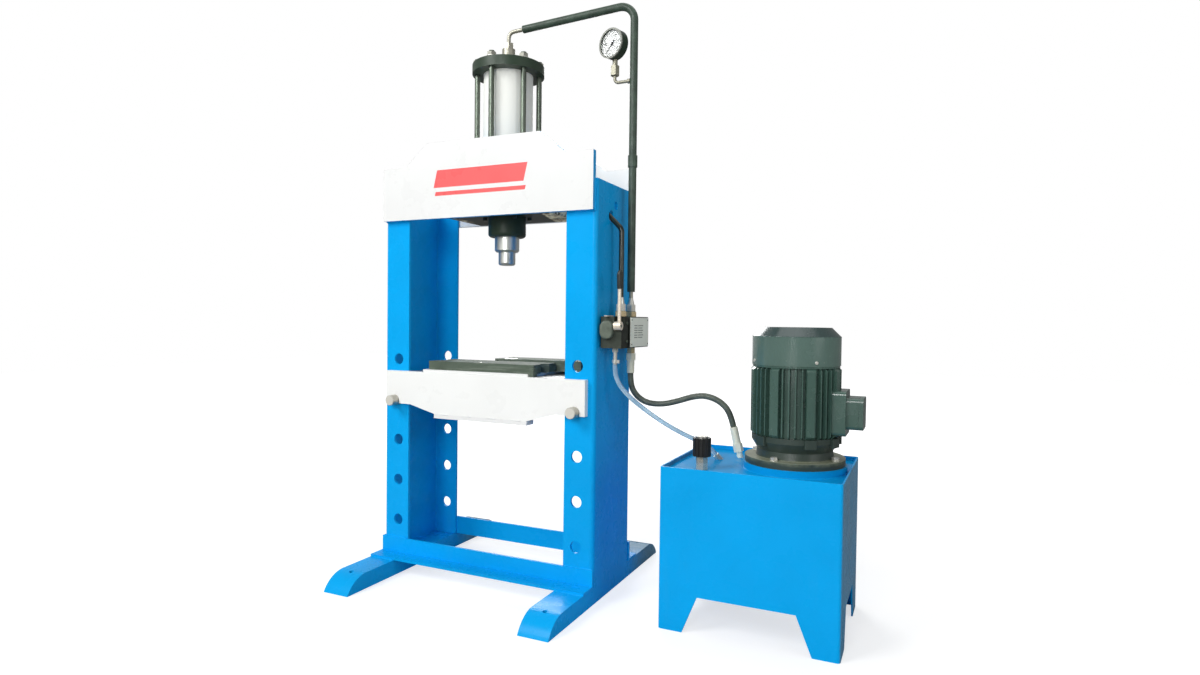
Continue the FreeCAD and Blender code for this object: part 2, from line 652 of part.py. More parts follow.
head_base = plate(
    "head_base_plate", "XY_Plane",
    square(-d.headbase_half, d.headbase_half, -COL_HALF, COL_HALF), d.headbase_t, HEADBASE_Z,
    circles=[(0, 0, d.gland_neck_d + 2 * d.seat_gap)])


def crosshead_rib(side):
    near, far = side * d.rib_x, side * (d.rib_x + d.rib_t)
    low, high = (near, far) if side > 0 else (far, near)
    rib = box(low, high, -COL_HALF, COL_HALF, HEADBASE_TOP, HEAD_Z + d.head_end_h - d.rib_drop)
    if side < 0:
        return rib
    return cut(rib, rod(d.low_pipe_d + d.pipe_hole_gap, 2 * d.rib_t + d.rib_x, 0, d.low_run_y,
                        LOW_HIGH_Z, "X"))


keep("crosshead_base", fuse(head_base, crosshead_rib(-1), crosshead_rib(1)))

# ---------------------------------------------------------------- cylinder

barrel = turned("cylinder_barrel_tube", [
    (d.bore_d / 2, HEADBASE_TOP), (d.barrel_d / 2, HEADBASE_TOP),
    (d.barrel_d / 2, BARREL_TOP), (d.bore_d / 2, BARREL_TOP)])
low_boss = cut(rod(d.low_boss_d, LOW_BOSS_X, 0, d.low_run_y, LOW_HIGH_Z, "X"),
               rod((d.bore_d + d.barrel_d) / 2, BARREL_TOP, 0, 0, 0))
keep("cylinder_barrel", fuse(barrel, low_boss))

cap_low = BARREL_TOP - d.cap_spigot
cap = turned("cap_blank", [
    (0, cap_low), (d.bore_d / 2 - d.seat_gap, cap_low),
    (d.bore_d / 2 - d.seat_gap, BARREL_TOP),
    (d.cap_d / 2, BARREL_TOP), (d.cap_d / 2, CAP_TOP), (0, CAP_TOP)])
keep("cylinder_top_cap", cut(
    rounded(cap, d.cap_round, ring_at(CAP_TOP, d.cap_d / 2)),
    *around(lambda: rod(d.tie_d + 2 * d.bolt_gap, d.cap_t + d.cap_spigot, 0, 0, cap_low),
            d.tie_count, d.tie_r)))

tie_top = CAP_TOP + d.nut_h + d.tie_stub
keep("tie_rods", group(*around(
    lambda: rod(d.tie_d, tie_top - HEADBASE_TOP, 0, 0, HEADBASE_TOP), d.tie_count, d.tie_r)))
keep("tie_rod_nuts", group(*around(
    lambda: cut(hexagon(d.nut_af, d.nut_h, 0, 0, CAP_TOP),
                rod(d.tie_d + 2 * d.run_gap, d.nut_h, 0, 0, CAP_TOP)), d.tie_count, d.tie_r)))

bearing_d = d.rod_d + 2 * d.run_gap
gland = turned("gland_blank", [
    (bearing_d / 2, GLAND_Z), (d.gland_d / 2, GLAND_Z), (d.gland_d / 2, HEADBASE_Z),
    (d.gland_neck_d / 2, HEADBASE_Z), (d.gland_neck_d / 2, HEADBASE_TOP),
    (d.bore_d / 2 - d.seat_gap, HEADBASE_TOP),
    (d.bore_d / 2 - d.seat_gap, HEADBASE_TOP + d.gland_spigot),
    (bearing_d / 2, HEADBASE_TOP + d.gland_spigot)])
keep("cylinder_gland", rounded(gland, d.gland_round, ring_at(GLAND_Z, d.gland_d / 2)))

keep("gland_screws", group(*around(
    lambda: rod(d.screw_d, d.screw_h, 0, 0, HEADBASE_Z - d.screw_h), d.screw_count, d.screw_r,
    d.screw_turn)))

piston_top = cap_low - d.piston_top_gap
piston_low = piston_top - d.piston_t
ram = turned("ram_blank", [
    (0, NOSE_Z), (d.nose_d / 2, NOSE_Z), (d.nose_d / 2, SHOULDER_Z),
    (d.rod_d / 2, SHOULDER_Z), (d.rod_d / 2, piston_low), (0, piston_low)])
ram = rounded(
    rounded(ram, d.shoulder_chamfer, ring_at(SHOULDER_Z, d.rod_d / 2), "Part::Chamfer"),
    d.nose_round, ring_at(NOSE_Z, d.nose_d / 2))
piston_r = d.bore_d / 2 - d.run_gap
land = (d.piston_t - 3 * d.land_w) / 2
keep("ram", fuse(ram, turned("piston", [
    (0, piston_low), (piston_r, piston_low), (piston_r, piston_low + d.land_w),
    (piston_r - d.land_depth, piston_low + d.land_w),
    (piston_r - d.land_depth, piston_low + d.land_w + land),
    (piston_r, piston_low + d.land_w + land), (piston_r, piston_low + 2 * d.land_w + land),
    (piston_r - d.land_depth, piston_low + 2 * d.land_w + land),
    (piston_r - d.land_depth, piston_top - d.land_w), (piston_r, piston_top - d.land_w),
    (piston_r, piston_top), (0, piston_top)])))

# ---------------------------------------------------------------- pipes

def point(x, y, z):
    return Vector(float(x), float(y), float(z))


pipe_route = [point(0, 0, UNION_TOP), point(0, 0, ELBOW_Z),
              point(PORT_X, PORT_B_Y, CORNER_Z), point(PORT_X, PORT_B_Y, NUT_TOP_Z)]
keep("pressure_pipe", fuse(
    rod(d.boss_d, d.boss_h, 0, 0, CAP_TOP), hexagon(d.union_af, d.union_h, 0, 0, UNION_LOW),
    own_shape("bent_pipe", swept(pipe_route, d.pipe_d, [d.elbow_bend, d.corner_bend])[0])))

top_run = pipe_route[2] - pipe_route[1]
top_run.normalize()
sleeve_route = [pipe_route[1] + top_run * float(d.sleeve_start), pipe_route[2],
                point(PORT_X, PORT_B_Y, SLEEVE_END)]
sleeve_bar = swept(sleeve_route, d.sleeve_d, [d.corner_bend])[0]
sleeve_core = swept(sleeve_route, d.pipe_d + 2 * d.seat_gap, [d.corner_bend])[0]
clip = Part.makeCylinder(float(d.sleeve_d) / 2 + float(d.clip_t), float(d.clip_h),
                         point(PORT_X, PORT_B_Y, d.col_top + d.clip_up - d.clip_h / 2))
keep("pipe_sleeve", own_shape("pipe_sleeve", sleeve_bar.fuse(clip).cut(sleeve_core)))

low_route = [point(PORT_X, PORT_A_Y, NUT_TOP_Z), point(PORT_X, PORT_A_Y, LOW_CORNER_Z),
             point(LOW_RUN_X, d.low_run_y, LOW_HIGH_Z),
             point(LOW_BOSS_X, d.low_run_y, LOW_HIGH_Z)]
keep("lower_cylinder_pipe", own_shape("lower_cylinder_pipe", swept(
    low_route, d.low_pipe_d, [d.low_bend, d.low_bend])[0]))


def valve_adapter(y):
    """A brass hexagon in the valve's top."""
    return hexagon(d.adapter_af, d.adapter_h, PORT_X, y, VALVE_TOP)


keep("brass_adapters", group(
    valve_adapter(PORT_A_Y), valve_adapter(PORT_B_Y),
    hexagon(d.low_nut_af, d.valve_z - HEX_TOP, PORT_X, PUMP_PORT_Y, HEX_TOP)))
keep("pipe_nuts", group(*[
    hexagon(d.nut_big_af, d.nut_big_h, PORT_X, y, NUT_LOW_Z)
    for y in (PORT_A_Y, PORT_B_Y)]))

# ---------------------------------------------------------------- gauge

branch_route = [point(PORT_X - d.sleeve_d / 2, PORT_B_Y, BRANCH_Z),
                point(GAUGE_X, PORT_B_Y, BRANCH_Z),
                point(GAUGE_X, PORT_B_Y, GAUGE_NUT_Z)]
branch_bar = swept(branch_route, d.branch_d, [d.branch_bend])[0]
saddle = Part.makeCylinder(
    float(d.branch_d + d.saddle_over) / 2, float(d.saddle_h),
    point(PORT_X - d.sleeve_d / 2 - d.saddle_h, PORT_B_Y, BRANCH_Z), AXES["X"])
sleeve_space = Part.makeCylinder(float(d.sleeve_d / 2 + d.seat_gap), float(d.gauge_d),
                                 point(PORT_X, PORT_B_Y, BRANCH_Z - d.gauge_d / 2))

# The gauge is made facing +Z about the origin and is then stood up, turned towards the operator.
gauge_stand = Placement(
    point(GAUGE_X, PORT_B_Y, GAUGE_Z) + FACING * float(d.gauge_forward),
    Rotation(AXES["Z"], -float(d.gauge_turn)).multiply(Rotation(AXES["X"], 90)))
case_r = float(d.gauge_d / 2 - d.rim_step)
inner_r = float(d.gauge_d / 2 - d.case_wall)
gauge_front = float(d.gauge_depth / 2)
bezel_low = gauge_front - float(d.bezel_t)
glass_top = gauge_front - float(d.glass_drop)
dial_low = gauge_front - float(d.dial_drop)
dial_top = dial_low + float(d.dial_t)


def gauge_disc(radius, low, high):
    return Part.makeCylinder(float(radius), high - low, Vector(0, 0, low))


def gauge_piece(label, shape):
    shape.Placement = gauge_stand.multiply(shape.Placement)
    keep(label, own_shape(label, Part.makeCompound([shape])))


case_space = gauge_disc(case_r + float(d.seat_gap), -2 * gauge_front, 2 * gauge_front)
case_space.Placement = gauge_stand.multiply(case_space.Placement)
stem = Part.makeCylinder(float(d.stem_d) / 2, float(GAUGE_Z - GAUGE_NUT_TOP),
                         point(GAUGE_X, PORT_B_Y, GAUGE_NUT_TOP))
keep("gauge_branch", fuse(
    own_shape("bent_branch", branch_bar.fuse(saddle).cut(sleeve_space)),
    hexagon(d.gauge_nut_af, d.gauge_nut_h, GAUGE_X, PORT_B_Y, GAUGE_NUT_Z),
    own_shape("gauge_stem", stem.cut(case_space))))

gauge_piece("gauge_case", gauge_disc(case_r, -gauge_front, bezel_low).cut(
    gauge_disc(inner_r, dial_low, gauge_front)))
gauge_piece("gauge_bezel", gauge_disc(d.gauge_d / 2, bezel_low, gauge_front).cut(
    gauge_disc(d.gauge_d / 2 - d.bezel_w, -1, gauge_front + 1)).cut(
    gauge_disc(inner_r, -1, glass_top)))
gauge_piece("gauge_glass", gauge_disc(inner_r, glass_top - float(d.glass_t), glass_top))
gauge_piece("gauge_dial", gauge_disc(inner_r, dial_low, dial_top).fuse(
    gauge_disc(d.needle_pin_d / 2 - d.run_gap, dial_low, dial_top + float(d.needle_pin_h))))


def needle_shape():
    """A tapered pointer with a hub, drawn pointing along +Y and turned to the dial's zero."""
    wide, tip = float(d.needle_w) / 2, float(d.needle_tip) / 2
    tail, far = -float(d.needle_tail), float(d.needle_len)
    corners = [Vector(-wide, tail, 0), Vector(wide, tail, 0), Vector(tip, far, 0),
               Vector(-tip, far, 0), Vector(-wide, tail, 0)]
    blade = Part.Face(Part.makePolygon(corners)).extrude(Vector(0, 0, float(d.needle_t)))
    hub = gauge_disc(d.needle_hub / 2, 0, float(d.needle_hub_t))
    made = blade.fuse(hub).cut(gauge_disc(d.needle_pin_d / 2, -1, float(d.needle_pin_h) + 1))
    made.Placement = Placement(Vector(0, 0, dial_top + float(d.bolt_gap)),
                               Rotation(AXES["Z"], float(d.needle_zero)))
    return made


gauge_piece("gauge_needle", needle_shape())

# ---------------------------------------------------------------- valve

main_block = box(VALVE_X, VALVE_RIGHT, d.valve_front, d.valve_back, d.valve_z, VALVE_TOP)
neck = box(VALVE_X + d.neck_inset, VALVE_RIGHT - d.neck_inset, LEVER_BACK, d.valve_front,
           d.valve_z + d.neck_inset, VALVE_TOP - d.neck_inset)
wall_pad = box(PRESS_HALF, VALVE_X, d.valve_front + d.pad_inset, d.valve_back - d.pad_inset,
               d.valve_z + d.pad_inset, VALVE_TOP - d.pad_inset)
spool_low_y = LEVER_FRONT + d.spool_end
spool_high_y = d.valve_back - d.spool_end


def spool_bore(start, end):
    """The space that the spool slides in, between two places along Y."""
    return rod(d.spool_d + 2 * d.run_gap, end - start, COVER_X, start, COVER_Z, "Y")


keep("valve_body", cut(
    fuse(rounded(main_block, d.valve_round, upright), neck, wall_pad),
    spool_bore(LEVER_BACK - d.spool_end, spool_high_y + d.spool_end / 2)))
keep("valve_plate", box(VALVE_RIGHT, VALVE_RIGHT + d.plate_t, d.valve_front + d.plate_inset,
                        d.valve_back - d.plate_inset, d.valve_z + d.plate_inset,
                        VALVE_TOP - d.plate_inset))

slot_left = HUB_X - d.slot_gap
slot_d = d.hub_d + 2 * d.slot_gap
lever_block = rounded(box(VALVE_X - d.slot_gap, VALVE_RIGHT, LEVER_FRONT, LEVER_BACK,
                          d.valve_z, VALVE_TOP), d.valve_round, upright)
cover_front = LEVER_FRONT - d.cover_t
spool_cover = box(COVER_X - d.cover_w / 2, COVER_X + d.cover_w / 2, cover_front, LEVER_FRONT,
                  COVER_Z - d.cover_h / 2, COVER_Z + d.cover_h / 2)
spool_cover = rounded(spool_cover, d.cover_w / 2 - d.cover_flat, lambda e: e.BoundBox.YLength > 1)
spool_cover = rounded(spool_cover, d.cover_round,
                      lambda e: abs(e.BoundBox.YMax - float(cover_front)) < 0.01)
lever_space = fuse(
    rod(slot_d, VALVE_RIGHT - slot_left + 1, slot_left, PIVOT_Y, PIVOT_Z, "X"),
    box(slot_left, VALVE_RIGHT + 1, PIVOT_Y, LEVER_FRONT + d.slot_deep, PIVOT_Z,
        VALVE_TOP + 1))
pivot_left = slot_left - 2 * d.slot_gap
pivot = rod(d.pivot_d, HUB_X + d.hub_w - pivot_left, pivot_left, PIVOT_Y, PIVOT_Z, "X")
housing = cut(fuse(lever_block, spool_cover), lever_space)
keep("lever_housing", cut(fuse(housing, pivot), spool_bore(spool_low_y - d.spool_end,
                                                           LEVER_BACK + 1)))
keep("valve_spool", rod(d.spool_d, spool_high_y - spool_low_y, COVER_X, spool_low_y, COVER_Z,
                        "Y"))

keep("valve_lever", cut(
    fuse(rod(d.hub_d, d.hub_w, HUB_X, PIVOT_Y, PIVOT_Z, "X"),
         rod(d.lever_d, LEVER_TOP - PIVOT_Z, LEVER_X, PIVOT_Y, PIVOT_Z)),
    rod(d.pivot_d + 2 * d.run_gap, d.hub_w, HUB_X, PIVOT_Y, PIVOT_Z, "X")))
grip_bore_r = d.lever_d / 2 + d.run_gap
grip_top = LEVER_TOP + d.grip_over
grip = turned("grip_blank", [
    (grip_bore_r, LEVER_TOP - d.grip_under), (d.grip_tip_d / 2, LEVER_TOP - d.grip_under),
    (d.grip_d / 2, grip_top - d.grip_round),
    (d.grip_tip_d / 2 - d.grip_shrink, grip_top - d.grip_end),
    (d.grip_tip_d / 4, grip_top), (0, grip_top), (0, LEVER_TOP), (grip_bore_r, LEVER_TOP)])
keep("lever_grip", grip, LEVER_X, PIVOT_Y)

# ---------------------------------------------------------------- table

def bed_plate(label, front):
    """A girder plate outside the flanges, deeper in its middle, notched over both pins."""
    bottom = BED_BOTTOM
    deep = BED_TOP - d.bed_mid_h
    half = [(BED_HALF, BED_TOP), (BED_HALF, bottom), (PIN_X + d.notch_r, bottom),
            (PIN_X + d.notch_r, PIN_Z), (PIN_X - d.notch_r, PIN_Z), (PIN_X - d.notch_r, bottom),
            (SLOPE_OUT, bottom), (SLOPE_IN, deep)]
    offset = COL_HALF + d.seat_gap if front else -COL_HALF - d.seat_gap - d.bed_t
    made = plate(label, "XZ_Plane", mirrored_outline(half), d.bed_t, offset)
    notch_z = PIN_Z + d.pin_d / 2 + d.seat_gap - d.notch_r
    pocket(made, sketch(made, "XZ_Plane", circles=[
        (PIN_X, notch_z, 2 * d.notch_r), (-PIN_X, notch_z, 2 * d.notch_r)], offset=offset))
    keep(label, made)


bed_plate("bed_front_plate", True)
bed_plate("bed_rear_plate", False)

inside_y = COL_HALF + d.seat_gap
strip_top = BED_TOP - d.bed_mid_h
strip_half = SLOPE_IN + d.strip_over
outer_y = inside_y + d.bed_t
keep("bed_stiffeners", group(*[
    box(-strip_half, strip_half, y0, y1, strip_top - d.strip_t, strip_top)
    for y0, y1 in ((-outer_y, d.strip_w - outer_y), (outer_y - d.strip_w, outer_y))], *[
    box(x0, x1, -inside_y, inside_y, strip_top, BED_TOP - d.bed_plate_t)
    for x0, x1 in ((-d.bed_rib_x - d.bed_rib_t, -d.bed_rib_x),
                   (d.bed_rib_x, d.bed_rib_x + d.bed_rib_t))]))
keep("bed_deck", box(-BED_PLATE_HALF, BED_PLATE_HALF, -inside_y, inside_y,
                     BED_TOP - d.bed_plate_t, BED_TOP))
COVER_TOP = BED_TOP + d.cover_deck_t
keep("bed_cover_plate", box(d.cover_left, d.cover_right, -d.cover_edge, d.cover_edge,
                            BED_TOP, COVER_TOP))


def press_block(label, left, right, front, back, thickness, stop):
    """A loose press plate with a V cut in each end."""
    middle = (front + back) / 2
    outline = [(left, front), (right, front), (right, middle - d.vee_w / 2),
               (right - d.vee_depth, middle), (right, middle + d.vee_w / 2), (right, back),
               (left, back), (left, middle + d.vee_w / 2), (left + d.vee_depth, middle),
               (left, middle - d.vee_w / 2)]
    made = plate(label, "XY_Plane", outline, thickness, COVER_TOP)
    if not stop:
        return keep(label, made)
    end_stop = box(right - d.stop_out / 2, right + d.stop_out / 2, front - d.stop_out,
                   front + d.stop_w - d.stop_out, BED_TOP, COVER_TOP + d.stop_h)
    keep(label, fuse(made, end_stop))


press_block("front_press_plate", d.block_left, d.block_right, d.block_front, d.block_back,
            d.block_t, True)
press_block("rear_press_plate", d.far_left, d.far_right, d.far_front, d.far_back, d.far_t, False)


def support_pin(label, side):
    """A bar through a hole of both flanges; the table's notches rest on it."""
    front = COL_HALF + d.seat_gap + d.bed_t + d.pin_front
    back = COL_HALF + d.seat_gap + d.bed_t + d.pin_back
    made = body(label)
    pad(made, sketch(made, "XZ_Plane", circles=[(side * PIN_X, PIN_Z, d.pin_d)], offset=-back),
        front + back)
    dress(made, "Chamfer", lambda e: isinstance(e.Curve, Part.Circle), Size=d.pin_chamfer)
    keep(label, made)


support_pin("left_pin", -1)
support_pin("right_pin", 1)

# ---------------------------------------------------------------- tank

tank_back = d.tank_front + d.tank_d
shell = rounded(box(TANK_LEFT, TANK_RIGHT, d.tank_front, tank_back, 0, d.tank_h),
                d.tank_fold, upright)
w = d.tank_wall
room = rounded(box(TANK_LEFT + w, TANK_RIGHT - w, d.tank_front + w, tank_back - w,
                   d.skirt_h + w, d.tank_h + 1), d.tank_fold - w, upright)
under = box(TANK_LEFT + w, TANK_RIGHT - w, d.tank_front + w, tank_back - w, -1, d.skirt_h)
below = -1


def skirt_cut(plane, low, high, foot, slope, start, length):
    outline = [(low + foot - slope / d.skirt_h, below), (high - foot + slope / d.skirt_h, below),
               (high - foot - slope, d.skirt_h), (low + foot + slope, d.skirt_h)]
    return plate("skirt_gap", plane, outline, length, start)


keep("tank_body", cut(
    shell, room, under,
    skirt_cut("XZ_Plane", TANK_LEFT, TANK_RIGHT, d.skirt_foot_x, d.skirt_slope_x,
              -tank_back - 1, d.tank_d + 2),
    skirt_cut("YZ_Plane", d.tank_front, tank_back, d.skirt_foot_y, d.skirt_slope_y,
              TANK_LEFT - 1, d.tank_w + 2)))

deck = box(TANK_LEFT + w, TANK_RIGHT - w, d.tank_front + w, tank_back - w, DECK_TOP - d.deck_t,
           DECK_TOP)
deck = rounded(deck, d.tank_fold - w + d.deck_corner, upright)
ring = rod(d.ring_d, d.ring_h, MOTOR_X, MOTOR_Y, DECK_TOP)
bell_hole = rod(d.bell_d + 2 * d.seat_gap, d.ring_h + d.deck_t, MOTOR_X, MOTOR_Y,
                DECK_TOP - d.deck_t)
keep("tank_deck", cut(fuse(deck, ring), bell_hole))

# ---------------------------------------------------------------- motor

bearing = d.shaft_d + 2 * d.run_gap
centre = (MOTOR_X, MOTOR_Y)
shield = turned("shield_blank", [
    (bearing / 2, RING_TOP), (d.motor_flange_d / 2, RING_TOP), (d.motor_flange_d / 2, FLANGE_TOP),
    (d.spigot_d / 2, FLANGE_TOP), (d.shield_neck_d / 2, FLANGE_TOP + d.shield_h / 3),
    (d.shield_d / 2, FRAME_LOW - d.shield_h / 4), (d.shield_d / 2, FRAME_LOW),
    (bearing / 2, FRAME_LOW)])
lug_turns = [float(turn) for turn in (d.lug_first, d.lug_second, d.lug_third)]
lug_turns += [180 - turn for turn in lug_turns]
keep("motor_end_shield", fuse(put(shield, *centre), *at_turns(
    lambda: rounded(box(-d.lug_w / 2, d.lug_w / 2, d.shield_neck_d / 2 - d.lug_r, 0,
                        FRAME_LOW - d.lug_h, FRAME_LOW), d.lug_round, upright),
    lug_turns, d.shield_neck_d / 2, centre)))

frame_head = FRAME_TOP - d.frame_head_t
rear_r = d.hood_d / 2 - d.hood_wall - d.seat_gap
core = turned("frame_core", [
    (d.frame_bore / 2, FRAME_LOW), (d.frame_d / 2, FRAME_LOW), (d.frame_d / 2, FRAME_TOP),
    (rear_r, FRAME_TOP), (rear_r, FRAME_TOP + d.rear_t), (bearing / 2, FRAME_TOP + d.rear_t),
    (bearing / 2, frame_head), (d.frame_bore / 2, frame_head)])
pad_middle = BOX_Z + d.box_h / 2
box_pad = rounded(
    box(MOTOR_X + d.frame_bore / 2, BOX_PAD_X, MOTOR_Y - d.box_pad_w / 2,
        MOTOR_Y + d.box_pad_w / 2, pad_middle - d.box_pad_h / 2, pad_middle + d.box_pad_h / 2),
    d.box_round, lambda e: e.BoundBox.XLength > 1)
box_space = cut(box_pad, rod(d.frame_d - d.frame_head_t, d.frame_h, *centre, FRAME_LOW))


def fin(width, outer_d):
    """One rib of the casing, from inside its wall to the outer diameter, drawn at the origin."""
    return box(-width / 2, width / 2, (d.frame_d - outer_d) / 2, d.fin_root, FRAME_LOW, FRAME_TOP)


def fin_end(z, way):
    """A ring that slopes the ribs' tips off at one end of the casing."""
    out = d.pad_d / 2 + 1
    return put(turned("fin_end", [
        (out - d.fin_round, z), (out, z), (out, z - way * d.fin_round)]), *centre)


ribs = fuse(*around(lambda: fin(d.fin_t, d.fin_d), d.fin_count, d.frame_d / 2, d.fin_turn, centre),
            *around(lambda: fin(d.pad_w, d.pad_d), d.pad_count, d.frame_d / 2, d.pad_turn, centre))
keep("motor_frame", fuse(cut(ribs, fin_end(FRAME_TOP, 1), fin_end(FRAME_LOW, -1)),
                         put(core, *centre), box_space))

hood_low = FRAME_TOP + d.hood_gap
hood_top = hood_low + d.hood_h
hood_r, hood_in = d.hood_d / 2, d.hood_d / 2 - d.hood_wall
hood = put(turned("hood_blank", [
    (hood_in, hood_low), (hood_r, hood_low), (hood_r, hood_top - d.hood_chamfer),
    (hood_r - d.hood_chamfer, hood_top), (0, hood_top), (0, hood_top - d.hood_wall),
    (hood_in - d.hood_chamfer, hood_top - d.hood_wall),
    (hood_in, hood_top - d.hood_chamfer - d.hood_wall)]), *centre)
vent_low, vent_deep = hood_top - 2 * d.hood_wall, 3 * d.hood_wall
slots = []
for i in range(int(float(d.vent_rings))):
    inner_d = 2 * (d.vent_first + d.vent_step * i)
    slots.append(cut(rod(inner_d + 2 * d.vent_w, vent_deep, *centre, vent_low),
                     rod(inner_d, vent_deep, *centre, vent_low)))
bars = around(lambda: box(-d.vent_bar_w / 2, d.vent_bar_w / 2, -hood_r, 0, vent_low,
                          vent_low + vent_deep), d.vent_bars, 0, 0, centre)
keep("fan_cover", cut(hood, cut(fuse(*slots), *bars)))

fan_low = FRAME_TOP + d.rear_t + d.fan_gap
rotor_low = FRAME_LOW + (d.frame_h - d.frame_head_t - d.rotor_h) / 2
keep("motor_rotor", fuse(
    rod(d.shaft_d, fan_low + d.fan_h - SHAFT_LOW, *centre, SHAFT_LOW),
    rod(d.frame_bore - 2 * d.rotor_gap, d.rotor_h, *centre, rotor_low)))
blade_long = (d.fan_d - d.fan_hub_d) / 2
keep("cooling_fan", cut(
    fuse(rod(d.fan_hub_d, d.fan_h, *centre, fan_low), rod(d.fan_d, d.fan_plate_t, *centre, fan_low),
         *around(lambda: box(-d.fan_blade_t / 2, d.fan_blade_t / 2, -blade_long, d.fan_blade_t,
                             fan_low, fan_low + d.fan_h), d.fan_blades, d.fan_hub_d / 2, 0,
                 centre)),
    rod(bearing, d.fan_h, *centre, fan_low)))


def box_shape(left, right, inset):
    """The terminal box's outline, inset all round, between two places along X."""
    half = d.box_w / 2 - inset
    return rounded(box(left, right, MOTOR_Y - half, MOTOR_Y + half, BOX_Z + inset,
                       BOX_Z + d.box_h - inset), d.box_round - inset,
                   lambda e: e.BoundBox.XLength > 1)


lid_x = BOX_PAD_X + d.box_deep
lid_groove = cut(box(lid_x - d.lid_gap, lid_x, MOTOR_Y - d.box_w, MOTOR_Y + d.box_w,
                     BOX_Z - d.box_h, BOX_Z + 2 * d.box_h),
                 box_shape(lid_x - 2 * d.lid_gap, lid_x + d.lid_gap, d.lid_gap))
keep("terminal_box", cut(box_shape(BOX_PAD_X, BOX_RIGHT, 0), lid_groove))

keep("flange_bolts", group(*around(
    lambda: fuse(rod(d.washer_d, d.washer_t, 0, 0, FLANGE_TOP),
                 hexagon(d.bolt_af, d.bolt_h, 0, 0, FLANGE_TOP + d.washer_t)),
    d.flange_bolts, d.flange_bolt_r, d.flange_bolt_turn, centre)))

# ---------------------------------------------------------------- pump

bell = turned("bell_blank", [
    (d.bell_d / 2 - d.bell_wall, BELL_LOW + d.bell_wall), (d.bell_d / 2 - d.bell_wall, RING_TOP),
    (d.bell_d / 2, RING_TOP), (d.bell_d / 2, BELL_LOW), (d.pump_shaft_d, BELL_LOW),
    (d.pump_shaft_d, BELL_LOW + d.bell_wall)])
put(bell, MOTOR_X, MOTOR_Y)
window_z = (BELL_LOW + DECK_TOP - d.deck_t - d.window_h) / 2
keep("bell_housing", cut(bell, box(
    MOTOR_X - d.window_w / 2, MOTOR_X + d.window_w / 2, MOTOR_Y - d.bell_d,
    MOTOR_Y + d.bell_d, window_z, window_z + d.window_h)))
pump_low = BELL_LOW - d.pump_h
keep("shaft_coupling", fuse(
    cut(rod(d.coupling_d, RING_TOP - d.coupling_gap - COUPLING_LOW, MOTOR_X, MOTOR_Y,
            COUPLING_LOW),
        rod(bearing, d.tank_h, MOTOR_X, MOTOR_Y, SHAFT_LOW)),
    rod(d.pump_shaft_d, COUPLING_LOW - pump_low - d.pump_h / 4, MOTOR_X, MOTOR_Y,
        pump_low + d.pump_h / 4)))
pump_block = rounded(box(
    MOTOR_X - d.pump_w / 2, MOTOR_X + d.pump_w / 2, MOTOR_Y - d.pump_d / 2,
    MOTOR_Y + d.pump_d / 2, pump_low, BELL_LOW), d.pump_round, upright)
strainer_top = STRAINER_LOW + d.strainer_h
keep("gear_pump", fuse(
    cut(pump_block, rod(d.pump_shaft_d + 2 * d.run_gap, d.pump_h, MOTOR_X, MOTOR_Y,
                        pump_low + d.pump_h / 4 - d.coupling_gap)),
    rod(d.strainer_d, d.strainer_h, MOTOR_X, MOTOR_Y, STRAINER_LOW),
    rod(d.strainer_pipe_d, pump_low - strainer_top, MOTOR_X, MOTOR_Y, strainer_top)))

# ---------------------------------------------------------------- relief valve

relief_top = DECK_TOP + d.relief_h
knob_low = relief_top + d.knob_gap
stem_top = relief_top + d.knob_h / 2
keep("relief_valve_body", fuse(
    hexagon(d.relief_af, d.relief_h, RELIEF_X, RELIEF_Y, DECK_TOP),
    rod(d.stem_relief_d, stem_top - relief_top, RELIEF_X, RELIEF_Y, relief_top)))
knob = cut(rod(d.knob_d, d.knob_h, RELIEF_X, RELIEF_Y, knob_low),
           group(*around(lambda: rod(d.flute_d, d.knob_h, 0, 0, knob_low), d.knob_flutes,
                         d.knob_d / 2, 0, (RELIEF_X, RELIEF_Y))),
           rod(d.stem_relief_d + 2 * d.run_gap, stem_top + 1 - knob_low, RELIEF_X, RELIEF_Y,
               knob_low))
keep("relief_knob", fuse(knob, rod(d.disc_d, d.disc_t, RELIEF_X, RELIEF_Y,
                                   knob_low + d.knob_h)))

# ---------------------------------------------------------------- hoses

def hose_route(points, y, slope):
    return [point(PORT_X + away, y + slope * away, z) for away, z in points]


def hose(label, route, diameter):
    solid, length, radii, ratio = swept(route, diameter)
    print("%s: length %.1f mm, radii %s mm, volume against section x length %.5f"
          % (label, length, ["%.0f" % r for r in radii], ratio))
    keep(label, own_shape(label, solid))
    last = route[-1] - route[-2]
    last.normalize()
    return route[-1], last


pressure_end, pressure_way = hose("pressure_hose", hose_route(
    PRESSURE_POINTS, PUMP_PORT_Y, PRESSURE_SLOPE), d.hose_d)
drain_end, drain_way = hose("drain_hose", hose_route(
    DRAIN_POINTS, TANK_PORT_Y, DRAIN_SLOPE), d.drain_d)


def along(start, way, begin, end, diameter, sides=0):
    """A round or six-sided bar on the line from start, between two distances along it."""
    if sides:
        ring_ = [Vector(math.cos(k * math.pi / 3), math.sin(k * math.pi / 3), 0) *
                 (diameter / math.sqrt(3)) for k in range(7)]
        bar_ = Part.Face(Part.makePolygon(ring_)).extrude(Vector(0, 0, end - begin))
    else:
        bar_ = Part.makeCylinder(diameter / 2, end - begin)
    bar_.Placement = Placement(start + way * begin, Rotation(AXES["Z"], way))
    return bar_


def down_to_deck(start, way):
    """How far the line from start runs before it has passed the deck's top."""
    return (start.z - float(DECK_TOP)) / -way.z + float(d.ferrule_d)


deck_space = Part.makeBox(float(d.tank_w), float(d.tank_d), float(DECK_TOP),
                          point(TANK_LEFT, d.tank_front, 0))
DOWN, UP = Vector(0, 0, -1), Vector(0, 0, 1)


